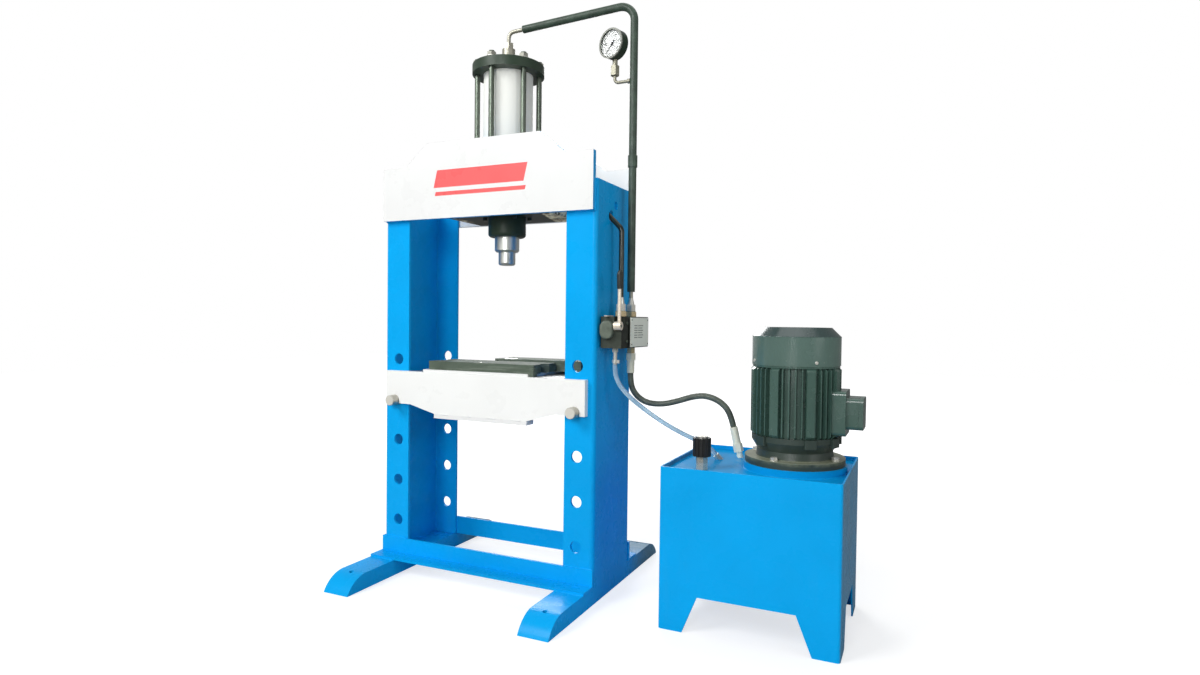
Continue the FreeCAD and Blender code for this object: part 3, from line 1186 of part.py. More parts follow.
def hose_fittings():
    """A crimped ferrule and a hexagon at each end of the pressure hose."""
    crimp, swivel_end = float(d.ferrule_len), float(d.ferrule_len + d.swivel_len)
    low = along(pressure_end, pressure_way, 0, crimp, float(d.ferrule_d)).fuse([
        along(pressure_end, pressure_way, crimp, swivel_end, float(d.swivel_af), 6),
        along(pressure_end, pressure_way, swivel_end, down_to_deck(pressure_end, pressure_way),
              float(d.spout_d))])
    joint = point(PORT_X, PUMP_PORT_Y, HEX_LOW_Z)
    high = along(joint, DOWN, 0, float(d.hose_cover_len), float(d.ferrule_d)).fuse(
        along(joint, UP, 0, float(d.hex_low_h), float(d.hex_low_af), 6))
    return Part.makeCompound([low.cut(deck_space), high])


def drain_pieces():
    """A nut with a clipped hose tail under the valve, and a stub with its nut on the deck."""
    top = point(PORT_X, TANK_PORT_Y, d.valve_z)
    nut_h = float(d.drain_nut_h)
    tail = along(top, DOWN, 0, nut_h, float(d.drain_nut_af), 6).fuse(
        along(top, DOWN, nut_h, float(d.valve_z) - DRAIN_TOP, float(d.barb_d)))
    band_z = d.band_low + DRAIN_TOP
    band = Part.makeCylinder(float(d.band_d) / 2, float(d.band_w),
                             point(PORT_X, TANK_PORT_Y, band_z))
    ear = Part.makeBox(float(d.ear_len), float(d.ear_w), float(d.band_w),
                       point(PORT_X, TANK_PORT_Y - d.ear_w / 2, band_z))
    reach = down_to_deck(drain_end, drain_way)
    stub = along(drain_end, drain_way, 0, reach, float(d.stub_d)).fuse(
        along(drain_end, drain_way, float(d.stub_nut_low), reach, float(d.stub_nut_af), 6))
    return Part.makeCompound([tail.fuse([band, ear]), stub.cut(deck_space)])


keep("hose_end_fittings", own_shape("hose_end_fittings", hose_fittings()))
keep("drain_fittings", own_shape("drain_fittings", drain_pieces()))

# ---------------------------------------------------------------- check and write

doc.recompute()
for thing in doc.Objects:
    if {"Invalid", "Error"} & set(thing.State):
        raise RuntimeError("failed: %s (%s) %s" % (thing.Name, thing.Label, thing.State))
for label, thing in PARTS:
    if thing.Shape.isNull() or not thing.Shape.isValid() or thing.Shape.Volume <= 0:
        raise RuntimeError("bad shape: " + label)
    thing.Shape.exportStep("parts/%s.step" % label)
print("%d pieces, press_x = %.1f" % (len(PARTS), float(PRESS_X)))
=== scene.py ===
"""The finish of an H-frame hydraulic press and its power unit: paint, metal, hoses and detail.

Metres, +Z up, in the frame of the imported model. The press stands on the -X side, the power unit
on the +X side, and the operator faces the press along +Y.
"""
import json
import math

import bmesh
import bpy
from mathutils import Matrix, Vector


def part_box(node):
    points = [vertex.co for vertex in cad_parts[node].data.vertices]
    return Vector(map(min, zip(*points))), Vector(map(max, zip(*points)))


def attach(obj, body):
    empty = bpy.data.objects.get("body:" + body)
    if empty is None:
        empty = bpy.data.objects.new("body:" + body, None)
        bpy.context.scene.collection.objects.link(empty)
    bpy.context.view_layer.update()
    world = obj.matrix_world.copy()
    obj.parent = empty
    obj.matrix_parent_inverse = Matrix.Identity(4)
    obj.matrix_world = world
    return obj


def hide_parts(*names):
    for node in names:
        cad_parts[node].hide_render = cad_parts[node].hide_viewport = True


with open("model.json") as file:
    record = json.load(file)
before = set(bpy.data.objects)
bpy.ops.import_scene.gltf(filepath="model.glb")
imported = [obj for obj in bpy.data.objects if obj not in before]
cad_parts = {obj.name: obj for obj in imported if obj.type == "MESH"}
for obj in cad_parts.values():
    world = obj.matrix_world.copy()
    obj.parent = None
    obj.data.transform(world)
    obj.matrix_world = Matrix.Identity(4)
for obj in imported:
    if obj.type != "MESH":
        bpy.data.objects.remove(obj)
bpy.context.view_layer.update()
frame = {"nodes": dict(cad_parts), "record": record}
nodes = frame["nodes"]
scene = bpy.context.scene
MM = 0.001


# ---------------------------------------------------------------- places read from the frame

def low(node):
    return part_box(node)[0]


def high(node):
    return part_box(node)[1]


def middle(node):
    return (low(node) + high(node)) / 2


PRESS = Vector((middle("cylinder_top_cap").x, 0, 0))
MOTOR = middle("fan_cover")
PLATE_LOW, PLATE_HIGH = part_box("crosshead_front_plate")
COLUMN_FRONT = low("left_column").y
COLUMN_BACK = high("left_column").y
FOOT_TOP = high("left_foot").z
ANGLE_FRONT = low("front_base_angle").y
UPWARD = Vector((0, 0, 1))
RIGHTWARD = Vector((1, 0, 0))
FRONTWARD = Vector((0, -1, 0))

# Millimetres from the ram's axis: the valve's ports, and the pipes and hoses that leave them.
PORT_X = 475
PRESSURE_PORT_Y, DRAIN_PORT_Y = 55, -83
PRESSURE_PIPE_Y, LOWER_PIPE_Y = 50, -39


def at_press(x, y, z):
    """A place given in millimetres from the ram's axis."""
    return PRESS + Vector((x, y, z)) * MM


def in_mm(profile, foot=0.0):
    """A turned profile given in millimetres, as radius and height over a foot."""
    return [(radius * MM, foot + height * MM) for radius, height in profile]


def circle(centre, radius, steps):
    """Points round a level circle."""
    return [centre + radius * Vector((math.cos(math.tau * k / steps),
                                      math.sin(math.tau * k / steps), 0))
            for k in range(steps)]


# ---------------------------------------------------------------- camera, lamps and floor

CAMERA_PLACE = Vector((1.4164, -2.2565, 0.9338))
CAMERA_YAW, CAMERA_PITCH, CAMERA_ROLL = (math.radians(a) for a in (24.642, -1.332, 0.675))
CAMERA_LENS, CAMERA_SENSOR = 21.43, 36
CAMERA_REACH = 50


def make_camera():
    """Stands the camera at the press's right, turned a little towards it."""
    data = bpy.data.cameras.new("view")
    data.lens = CAMERA_LENS
    data.sensor_width = CAMERA_SENSOR
    data.sensor_fit = "HORIZONTAL"
    data.clip_end = CAMERA_REACH
    camera = bpy.data.objects.new("view", data)
    scene.collection.objects.link(camera)
    turn = Matrix.Rotation(CAMERA_YAW, 4, "Z")
    level = Matrix.Rotation(math.pi / 2 + CAMERA_PITCH, 4, "X")
    roll = Matrix.Rotation(CAMERA_ROLL, 4, "Z")
    camera.matrix_world = Matrix.Translation(PRESS + CAMERA_PLACE) @ turn @ level @ roll
    scene.camera = camera


def lamp(name, place, target, width, height, power):
    """A lit rectangle at a place, turned to a target."""
    data = bpy.data.lights.new(name, "AREA")
    data.shape = "RECTANGLE"
    data.size = width
    data.size_y = height
    data.energy = power
    made = bpy.data.objects.new(name, data)
    scene.collection.objects.link(made)
    made.location = place
    made.rotation_euler = (Vector(target) - Vector(place)).to_track_quat("-Z", "Y").to_euler()


def make_lights():
    """Soft lamps at the front left, front, top, back left and right."""
    lamp("key", (-2.6, -4.0, 4.2), (0, 0, 0.8), width=2.2, height=2.2, power=172)
    lamp("front", (0.5, -4.8, 2.4), (0, 0, 0.9), width=1.2, height=2.2, power=90)
    lamp("top", (0.4, 0.6, 4.4), (0, 0, 0.6), width=2.6, height=2.6, power=29)
    lamp("back", (-2.2, 4.2, 3.0), (0, 0, 0.9), width=2.4, height=2.4, power=130)
    lamp("side", (4.4, -1.4, 2.0), (0, 0, 0.8), width=2.0, height=2.0, power=30)


def math_node(tree, operation, *values):
    """The result of one operation on numbers and sockets."""
    made = tree.nodes.new("ShaderNodeMath")
    made.operation = operation
    for slot, value in enumerate(values):
        if isinstance(value, bpy.types.NodeSocket):
            tree.links.new(value, made.inputs[slot])
        else:
            made.inputs[slot].default_value = value
    return made.outputs["Value"]


def ranged(tree, value, from_low, from_high, to_low, to_high):
    """A value's range, clamped and mapped smoothly to another range."""
    made = tree.nodes.new("ShaderNodeMapRange")
    made.interpolation_type = "SMOOTHSTEP"
    for name, number in (("From Min", from_low), ("From Max", from_high), ("To Min", to_low),
                         ("To Max", to_high)):
        made.inputs[name].default_value = number
    tree.links.new(value, made.inputs["Value"])
    return made.outputs["Result"]


def seen_light(tree, in_gloss):
    """How much of the pale background a ray sees: all of it from the camera and through glass."""
    path = tree.nodes.new("ShaderNodeLightPath")
    direct = math_node(tree, "MAXIMUM", path.outputs["Is Camera Ray"],
                       path.outputs["Is Transmission Ray"])
    gloss = math_node(tree, "MULTIPLY", path.outputs["Is Glossy Ray"], in_gloss)
    return math_node(tree, "MAXIMUM", direct, gloss)


WORLD_FILL = 0.25
GLOSS_DARK, GLOSS_BRIGHT = 0.12, 0.6
BACKDROP_EDGE, BACKDROP_FULL = 0.3, 0.95
BRIGHT_SIDE = Vector((-0.82, 0.57, 0))
FLOOR_SIZE = 24
GLOW_NEAR, GLOW_FAR = 0.64, 1.0
GLOW_START, GLOW_END = 1.6, 5.0
FLOOR_IN_GLOSS = 0.1
FLOOR_PALE, FLOOR_DARK = 0.5, 0.12


def make_world():
    """White all round to the eye; in a gloss it is a lit backdrop in a dimmer room."""
    world = bpy.data.worlds.new("studio")
    scene.world = world
    world.use_nodes = True
    tree = world.node_tree
    background = tree.nodes["Background"]
    direction = tree.nodes.new("ShaderNodeTexCoord").outputs["Generated"]
    toward = tree.nodes.new("ShaderNodeVectorMath")
    toward.operation = "DOT_PRODUCT"
    toward.inputs[1].default_value = BRIGHT_SIDE
    tree.links.new(direction, toward.inputs[0])
    gloss = ranged(tree, toward.outputs["Value"], BACKDROP_EDGE, BACKDROP_FULL, GLOSS_DARK,
                   GLOSS_BRIGHT)
    seen = seen_light(tree, gloss)
    strength = math_node(tree, "MAXIMUM", seen, WORLD_FILL)
    tree.links.new(strength, background.inputs["Strength"])
    background.inputs["Color"].default_value = (1, 1, 1, 1)


def make_floor():
    """Pale paper: it keeps the shadow near the object and melts into the backdrop further off."""
    data = bpy.data.meshes.new("floor")
    half = FLOOR_SIZE / 2
    data.from_pydata([(-half, -half, 0), (half, -half, 0), (half, half, 0), (-half, half, 0)], [],
                     [(0, 1, 2, 3)])
    floor = bpy.data.objects.new("floor", data)
    scene.collection.objects.link(floor)
    material = bpy.data.materials.new("floor")
    material.use_nodes = True
    tree = material.node_tree
    paper = tree.nodes["Principled BSDF"]
    in_gloss = tree.nodes.new("ShaderNodeLightPath").outputs["Is Glossy Ray"]
    tone = ranged(tree, in_gloss, 0, 1, FLOOR_PALE, FLOOR_DARK)
    tree.links.new(tone, paper.inputs["Base Color"])
    paper.inputs["Roughness"].default_value = 0.9
    paper.inputs["Specular IOR Level"].default_value = 0.1
    paper.inputs["Emission Color"].default_value = (1, 1, 1, 1)
    place = tree.nodes.new("ShaderNodeTexCoord").outputs["Object"]
    length = tree.nodes.new("ShaderNodeVectorMath")
    length.operation = "LENGTH"
    tree.links.new(place, length.inputs[0])
    glow = ranged(tree, length.outputs["Value"], GLOW_START, GLOW_END, GLOW_NEAR, GLOW_FAR)
    strength = math_node(tree, "MULTIPLY", seen_light(tree, FLOOR_IN_GLOSS), glow)
    tree.links.new(strength, paper.inputs["Emission Strength"])
    data.materials.append(material)


# ---------------------------------------------------------------- materials

class Finish:
    """One procedural material. Textures are placed by the object's own coordinates, in metres."""

    def __init__(self, name, colour, roughness, metallic=0.0, **sockets):
        self.material = bpy.data.materials.new(name)
        self.material.use_nodes = True
        self.material.diffuse_color = (*colour, 1)
        self.tree = self.material.node_tree
        self.shader = self.tree.nodes["Principled BSDF"]
        self.set("Base Color", (*colour, 1))
        self.set("Roughness", roughness)
        self.set("Metallic", metallic)
        for socket, value in sockets.items():
            self.set(socket.replace("_", " "), value)
        self.place = self.node("ShaderNodeTexCoord").outputs["Object"]
        self.height = None

    def set(self, socket, value):
        self.shader.inputs[socket].default_value = value

    def node(self, kind, inputs=None, **settings):
        made = self.tree.nodes.new(kind)
        for name, value in settings.items():
            setattr(made, name, value)
        for name, value in (inputs or {}).items():
            if isinstance(value, bpy.types.NodeSocket):
                self.tree.links.new(value, made.inputs[name])
            else:
                made.inputs[name].default_value = value
        return made

    def stretched(self, x, y, z):
        """The place, with each axis scaled: a small scale draws the texture out along it."""
        return self.node("ShaderNodeMapping", {"Vector": self.place, "Scale": (x, y, z)}
                         ).outputs["Vector"]

    def noise(self, scale, detail=3, roughness=0.55, place=None):
        return self.node("ShaderNodeTexNoise", {
            "Vector": place or self.place, "Scale": scale, "Detail": detail,
            "Roughness": roughness}).outputs["Fac"]

    def between(self, value, start, end, to_start=0.0, to_end=1.0):
        """The value's range start to end, clamped and mapped to another range."""
        return self.node("ShaderNodeMapRange", {
            "Value": value, "From Min": start, "From Max": end, "To Min": to_start,
            "To Max": to_end}).outputs["Result"]

    def times(self, *values):
        total = values[0]
        for value in values[1:]:
            total = math_node(self.tree, "MULTIPLY", total, value)
        return total

    def most(self, first, second):
        return math_node(self.tree, "MAXIMUM", first, second)

    def blend(self, factor, first, second):
        """A colour between two, each a tuple or a socket."""
        made = self.node("ShaderNodeMix", data_type="RGBA")
        for slot, value in ((0, factor), (6, first), (7, second)):
            if isinstance(value, bpy.types.NodeSocket):
                self.tree.links.new(value, made.inputs[slot])
            elif isinstance(value, tuple):
                made.inputs[slot].default_value = (*value, 1)
            else:
                made.inputs[slot].default_value = value
        return made.outputs[2]

    def feed(self, socket, value):
        self.tree.links.new(value, self.shader.inputs[socket])

    def bump(self, height, distance, strength=1.0):
        """Adds a height to the surface; a second call lies on top of the first."""
        inputs = {"Height": height, "Distance": distance, "Strength": strength}
        if self.height is not None:
            inputs["Normal"] = self.height
        self.height = self.node("ShaderNodeBump", inputs).outputs["Normal"]
        self.tree.links.new(self.height, self.shader.inputs["Normal"])

    def normal(self):
        """The surface's own direction, in the object's coordinates."""
        return self.node("ShaderNodeTexCoord").outputs["Normal"]

    def along(self, vector, axis):
        return self.node("ShaderNodeSeparateXYZ", {"Vector": vector}).outputs[axis]

    def inside(self, axis, start, end, edge=0.004):
        """1 where the place lies between two values on an axis, with a soft edge."""
        value = self.along(self.place, axis)
        return self.times(self.between(value, start - edge, start + edge),
                          self.between(value, end - edge, end + edge, 1, 0))


def shade(colour, factor):
    """A colour made lighter or darker."""
    return tuple(min(1.0, c * factor) for c in colour)


DUST = (0.20, 0.18, 0.14)
RUST = (0.16, 0.07, 0.03)


def paint(name, colour, roughness, drift=0.06, soil=0.15, gloss=0.3, flow=0.0005):
    """Sprayed enamel: orange peel, slow changes of tone, faint runs and dust, and fine specks."""
    made = Finish(name, colour, roughness, Specular_IOR_Level=gloss)
    tone = made.between(made.noise(3.2, 2), 0.3, 0.7)
    base = made.blend(tone, shade(colour, 1 - drift), shade(colour, 1 + drift))
    streak = made.noise(9, 4, 0.65, made.stretched(1, 1, 0.12))
    base = made.blend(made.between(streak, 0.60, 0.86, 0, soil), base, DUST)
    speck = made.between(made.noise(95, 2), 0.76, 0.80, 0, 0.35)
    base = made.blend(speck, base, shade(colour, 1.5))
    made.feed("Base Color", base)
    made.feed("Roughness", made.between(made.noise(14, 4), 0.3, 0.75, roughness - 0.06,
                                        roughness + 0.12))
    made.bump(made.noise(260, 2), flow, 0.3)
    made.bump(made.noise(4, 2), flow * 3, 0.5)
    made.base = base
    return made


BLUE = (0.003, 0.39, 0.86)
WHITE = (0.83, 0.84, 0.83)


def blue_enamel():
    return paint("blue_enamel", BLUE, 0.26, soil=0.06, gloss=0.08).material


def glossy_blue():
    """The tank's top, newer and smoother than the rest, with a little dust."""
    made = paint("glossy_blue", shade(BLUE, 0.8), 0.13, soil=0.04, gloss=0.025, flow=0.0002)
    made.feed("Roughness", made.between(made.noise(9, 3), 0.35, 0.75, 0.1, 0.22))
    dusty = made.times(made.between(made.noise(6, 4), 0.5, 0.8),
                       made.between(made.along(made.normal(), "Z"), 0.8, 0.95, 0, 0.05))
    made.feed("Base Color", made.blend(dusty, made.base, DUST))
    return made.material


# Dark olive: painted shade on the tank's right side, and the darkening towards the feet's rear
# ends.
DARK_OLIVE = (0.16, 0.20, 0.15)


def darkened_blue(name, axis, start, end, most):
    """Blue enamel, darker and olive towards one end of an axis; along 'side', darker on the faces
    of its right side, which is painted shade.
    """
    made = paint(name, BLUE, 0.26, soil=0.06, gloss=0.08)
    value = made.along(made.normal() if axis == "side" else made.place,
                       "X" if axis == "side" else axis)
    patches = made.between(made.noise(7, 3), 0.3, 0.7, 0.75, 1)
    darkening = made.times(made.between(value, start, end, 0, most), patches)
    made.feed("Base Color", made.blend(darkening, made.base, DARK_OLIVE))
    return made.material


def white_enamel():
    return paint("white_enamel", WHITE, 0.3, drift=0.02, soil=0.05).material


# The barrel's white, a brighter copy of the frame's white enamel: painted light.
def lit_barrel_enamel():
    return paint("lit_barrel_enamel", (0.97, 0.98, 0.92), 0.6, drift=0.01, soil=0.02).material


def table_white():
    return paint("table_white", (0.90, 0.91, 0.89), 0.3, drift=0.02, soil=0.04).material


# The rear crosshead plate's white, a brighter copy of the front plate's white: painted light for a
# plate that stands in shade.
def lit_rear_white():
    return paint("lit_rear_white", (0.95, 0.96, 0.94), 0.4, drift=0.01, soil=0.02).material


def two_tone():
    """The front crosshead plate: white on its outer face, blue on its edges and inner face."""
    made = paint("crosshead_front", WHITE, 0.3, drift=0.02, soil=0.05)
    outside = made.between(made.along(made.normal(), "Y"), -0.5, -0.9)
    made.feed("Base Color", made.blend(outside, BLUE, made.base))
    return made.material


def black_enamel():
    return paint("black_enamel", (0.026, 0.046, 0.028), 0.42, drift=0.2, gloss=0.38).material


RUST_PALE = (0.98, 0.86, 0.58)
RUST_SLANT = 0.27
# Metres from the ram's axis: where the rust starts at the right, and the patch at the left.
RUST_START, RUST_FULL = 0.156, 0.164
RUST_LEFT_OUTER, RUST_LEFT_INNER = 0.212, 0.185
RUST_LEFT_FRONT, RUST_LEFT_BACK = -0.07, 0.05


def crosshead_base():
    """Blackened plate under the crosshead, bare and rusty where it was handled."""
    made = paint("crosshead_base", (0.022, 0.028, 0.018), 0.4, drift=0.25, gloss=0.12)
    across = math_node(made.tree, "MULTIPLY_ADD", made.along(made.place, "Y"), RUST_SLANT,
                       made.along(made.place, "X"))
    right = made.between(across, PRESS.x + RUST_START, PRESS.x + RUST_FULL)
    left = made.times(
        made.inside("X", PRESS.x - RUST_LEFT_OUTER, PRESS.x - RUST_LEFT_INNER, 0.012),
        made.inside("Y", RUST_LEFT_FRONT, RUST_LEFT_BACK, 0.03))
    bare = made.times(made.most(right, left),
                      made.between(made.noise(22, 5, 0.7), 0.36, 0.48))
    rusty = made.blend(made.between(made.noise(60, 4), 0.38, 0.56), RUST, RUST_PALE)
    made.feed("Base Color", made.blend(bare, made.base, rusty))
    made.feed("Roughness", made.between(bare, 0, 1, 0.4, 0.75))
    return made.material


def motor_paint(name="motor_paint", roughness=0.24, colour=(0.054, 0.112, 0.090)):
    """Thick green-grey enamel over cast iron, worn lighter in small spots on the ribs."""
    made = paint(name, colour, roughness, 0.15, gloss=0.8, flow=0.0009)
    chips = made.between(made.noise(70, 4, 0.7), 0.66, 0.72, 0, 0.45)
    made.base = made.blend(chips, made.base, (0.20, 0.26, 0.22))
    made.feed("Base Color", made.base)
    return made


def hood_paint():
    """The hood's enamel: lighter than the frame's on its side, and darker on its upward-facing
    shoulder, which is painted shade.
    """
    made = motor_paint("hood_paint", 0.18, (0.084, 0.146, 0.124))
    # Painted shade: the faces that turn upward are darkened.
    shaded_top = made.between(made.along(made.normal(), "Z"), 0.3, 0.6)
    made.feed("Base Color", made.blend(shaded_top, made.base, (0.030, 0.058, 0.056)))
    return made.material


SHIELD_OVER_FLANGE = 67 * MM


def flange_iron():
    """The motor's lower end: dark paint, and oily cream dirt on its wide flange."""
    made = paint("flange_iron", (0.034, 0.052, 0.042), 0.36, 0.2, gloss=0.5, flow=0.0009)
    flange_top = high("motor_end_shield").z - SHIELD_OVER_FLANGE
    level = made.inside("Z", flange_top - 0.008, flange_top + 0.001, 0.004)
    patches = made.between(made.noise(20, 5, 0.7), 0.36, 0.62, 0, 0.75)
    dirty = made.blend(made.times(level, patches), made.base, (0.17, 0.19, 0.12))
    lip = made.inside("Z", flange_top - 0.0015, flange_top + 0.0008, 0.0008)
    made.feed("Base Color", made.blend(made.times(lip, 0.6), dirty, (0.30, 0.32, 0.22)))
    return made.material


def steel(name, colour, roughness, grain=(1, 1, 1), stain=0.3, dark=0.45):
    """Machined steel with fine marks drawn out along the axes that have a small grain."""
    made = Finish(name, colour, roughness, 1.0)
    marks = made.noise(900, 2, 0.6, made.stretched(*grain))
    patches = made.between(made.noise(28, 5), 0.45, 0.8, 0, stain)
    base = made.blend(patches, colour, shade(colour, dark))
    made.feed("Base Color", base)
    made.feed("Roughness", made.between(marks, 0.3, 0.7, roughness - 0.08, roughness + 0.12))
    made.bump(marks, 0.00006, 0.6)
    made.base = base
    return made


def plate_silver():
    """Satin aluminium, brushed along its height, its dull oxide hiding part of the gloss."""
    made = steel("plate_silver", (0.92, 0.95, 0.84), 0.5, (1, 1, 0.1), 0.06)
    made.set("Metallic", 0.0)
    return made.material


def press_plate_steel(name):
    """Oiled olive-grey plate with light streaks along its length."""
    colour = (0.105, 0.135, 0.105)
    made = steel(name, colour, 0.62, (0.05, 1, 1), 0.5)
    made.set("Specular IOR Level", 0.08)
    streaks = made.between(made.noise(34, 4, 0.7, made.stretched(0.12, 1, 2)), 0.52, 0.72, 0, 0.6)
    made.feed("Base Color", made.blend(streaks, made.base, (0.26, 0.30, 0.25)))
    made.feed("Metallic", made.between(made.noise(12, 3), 0.3, 0.7, 0, 0.15))
    return made.material


def cream_steel(name, colour, roughness=0.3, metallic=0.65):
    """Zinc plating with a warm passivated tint, a little cloudy."""
    made = steel(name, colour, roughness, stain=0.25, dark=0.7)
    made.set("Metallic", metallic)
    cloud = made.between(made.noise(120, 4, 0.7), 0.35, 0.7)
    made.feed("Base Color", made.blend(cloud, made.base, shade(colour, 1.12)))
    return made.material


def pin_steel():
    """The table's pins: a dull turned side and a bright faced end."""
    made = steel("pin_steel", (0.52, 0.50, 0.44), 0.36, (1, 0.08, 1), 0.35)
    end = made.between(made.along(made.normal(), "Y"), -0.8, -0.6, 1, 0)
    made.feed("Base Color", made.blend(end, made.base, (0.82, 0.80, 0.72)))
    made.feed("Metallic", made.between(end, 0, 1, 0.9, 0.35))
    return made.material


def ram_chrome():
    return steel("ram_chrome", (0.80, 0.82, 0.77), 0.38, (1, 1, 0.6), 0.15).material


def cast(name, colour, roughness=0.42):
    """Cast metal under a thin coat of paint, slightly pebbled and a little greasy."""
    made = Finish(name, colour, roughness, 0.0, Specular_IOR_Level=0.5)
    tone = made.between(made.noise(18, 4), 0.3, 0.75)
    base = made.blend(tone, shade(colour, 0.7), shade(colour, 1.5))
    worn = made.between(made.noise(55, 4, 0.7), 0.62, 0.74, 0, 0.4)
    made.base = made.blend(worn, base, (0.16, 0.15, 0.12))
    made.feed("Base Color", made.base)
    made.feed("Roughness", made.between(made.noise(60, 3), 0.3, 0.7, roughness - 0.14,
                                        roughness + 0.12))
    made.bump(made.noise(420, 3), 0.0005, 0.45)
    return made


def lever_housing_cast():
    """The lever's housing: dark and oily, with a round cover lighter than the rest, in patches."""
    made = cast("lever_housing_cast", (0.016, 0.020, 0.014), 0.5)
    made.set("Specular IOR Level", 0.25)
    cover_front = low("lever_housing").y
    cover = made.inside("Y", cover_front - 0.002, cover_front + 0.0175, 0.001)
    # The front cover is lighter than the rest of the housing, mottled between two tones.
    worn = made.blend(made.between(made.noise(26, 4, 0.65), 0.3, 0.7),
                      (0.070, 0.088, 0.068), (0.17, 0.20, 0.16))
    made.feed("Base Color", made.blend(cover, made.base, worn))
    return made.material


def plastic(name, colour, roughness=0.4):
    """Moulded plastic or smooth ink, with a faint grain."""
    made = Finish(name, colour, roughness, Specular_IOR_Level=0.5)
    made.feed("Base Color", made.blend(made.between(made.noise(35, 4), 0.35, 0.7),
                                       shade(colour, 0.85), shade(colour, 1.25)))
    made.feed("Roughness", made.between(made.noise(40, 3), 0.3, 0.7, roughness - 0.06,
                                        roughness + 0.1))
    made.bump(made.noise(1500, 2), 0.0001, 0.5)
    return made


KNOB_BLACK = (0.014, 0.015, 0.015)


def knob_finish():
    """A black fluted knob whose top holds a turned silver disc."""
    made = plastic("knob_plastic", KNOB_BLACK, 0.34)
    disc = made.between(made.along(made.place, "Z"), high("relief_knob").z - 4.6 * MM,
                        high("relief_knob").z - 4.2 * MM)
    made.feed("Base Color", made.blend(disc, KNOB_BLACK, (0.66, 0.65, 0.60)))
    made.feed("Metallic", disc)
    return made.material


def relief_body():
    """The relief valve's body: brass below, plated steel above."""
    made = steel("relief_body", (0.66, 0.62, 0.50), 0.24, stain=0.5)
    made.set("Metallic", 0.5)
    upper = made.between(made.along(made.place, "Z"), low("relief_knob").z - 22 * MM,
                         low("relief_knob").z - 20 * MM)
    made.feed("Base Color", made.blend(upper, made.base, (0.50, 0.46, 0.36)))
    return made.material


def rubber(name, colour, wrap=1.0):
    """A wrapped rubber cover, with the fine cross marks of its wrapping cloth."""
    made = Finish(name, colour, 0.45, Specular_IOR_Level=0.5)
    worn = made.between(made.noise(30, 4), 0.4, 0.75)
    made.feed("Base Color", made.blend(worn, colour, shade(colour, 1.8)))
    made.feed("Roughness", made.between(made.noise(18, 3), 0.3, 0.7, 0.36, 0.56))
    made.bump(made.noise(1100, 2), 0.00025 * wrap, 0.6)
    made.bump(made.noise(60, 2), 0.0006 * wrap, 0.4)
    return made.material


def clear_vinyl():
    """A soft clear hose with a bluish tint, cloudy with old oil."""
    made = Finish("clear_hose", (0.50, 0.70, 0.86), 0.12, IOR=1.4, Transmission_Weight=0.55)
    made.feed("Base Color", made.blend(made.between(made.noise(24, 3), 0.35, 0.7),
                                       (0.40, 0.60, 0.76), (0.62, 0.80, 0.92)))
    made.bump(made.noise(30, 2), 0.0003, 0.3)
    return made.material


def window_glass():
    """The gauge's clear window."""
    made = Finish("window_glass", (0.97, 0.98, 0.98), 0.02, IOR=1.2, Transmission_Weight=1.0)
    made.bump(made.noise(30, 2), 0.00005, 0.2)
    return made.material


def make_materials():
    """Every finish, by the name of the record's material slot."""
    return {
        "blue_enamel": blue_enamel(),
        "white_enamel": white_enamel(),
        "black_enamel": black_enamel(),
        "motor_paint": motor_paint().material,
        "bright_steel": cream_steel("bright_steel", (0.74, 0.73, 0.67)),
        "dark_steel": steel("dark_steel", (0.16, 0.19, 0.155), 0.36, (1, 1, 0.05)).material,
        "grey_steel": steel("grey_steel", (0.46, 0.47, 0.47), 0.36).material,
        "cast_housing": cast("cast_housing", (0.024, 0.030, 0.024)).material,
        "brass": cream_steel("brass", (0.80, 0.64, 0.38), 0.26, 0.4),
        "plate_silver": plate_silver(),
        "black_plastic": plastic("black_plastic", (0.020, 0.024, 0.021), 0.4).material,
        "hose_rubber": rubber("hose_rubber", (0.078, 0.094, 0.076)),
        "clear_hose": clear_vinyl(),
        "dial_white": plastic("dial_white", (0.80, 0.81, 0.79), 0.5).material,
        "needle_red": plastic("needle_dark", (0.03, 0.03, 0.03), 0.4).material,
        "window_glass": window_glass(),
    }


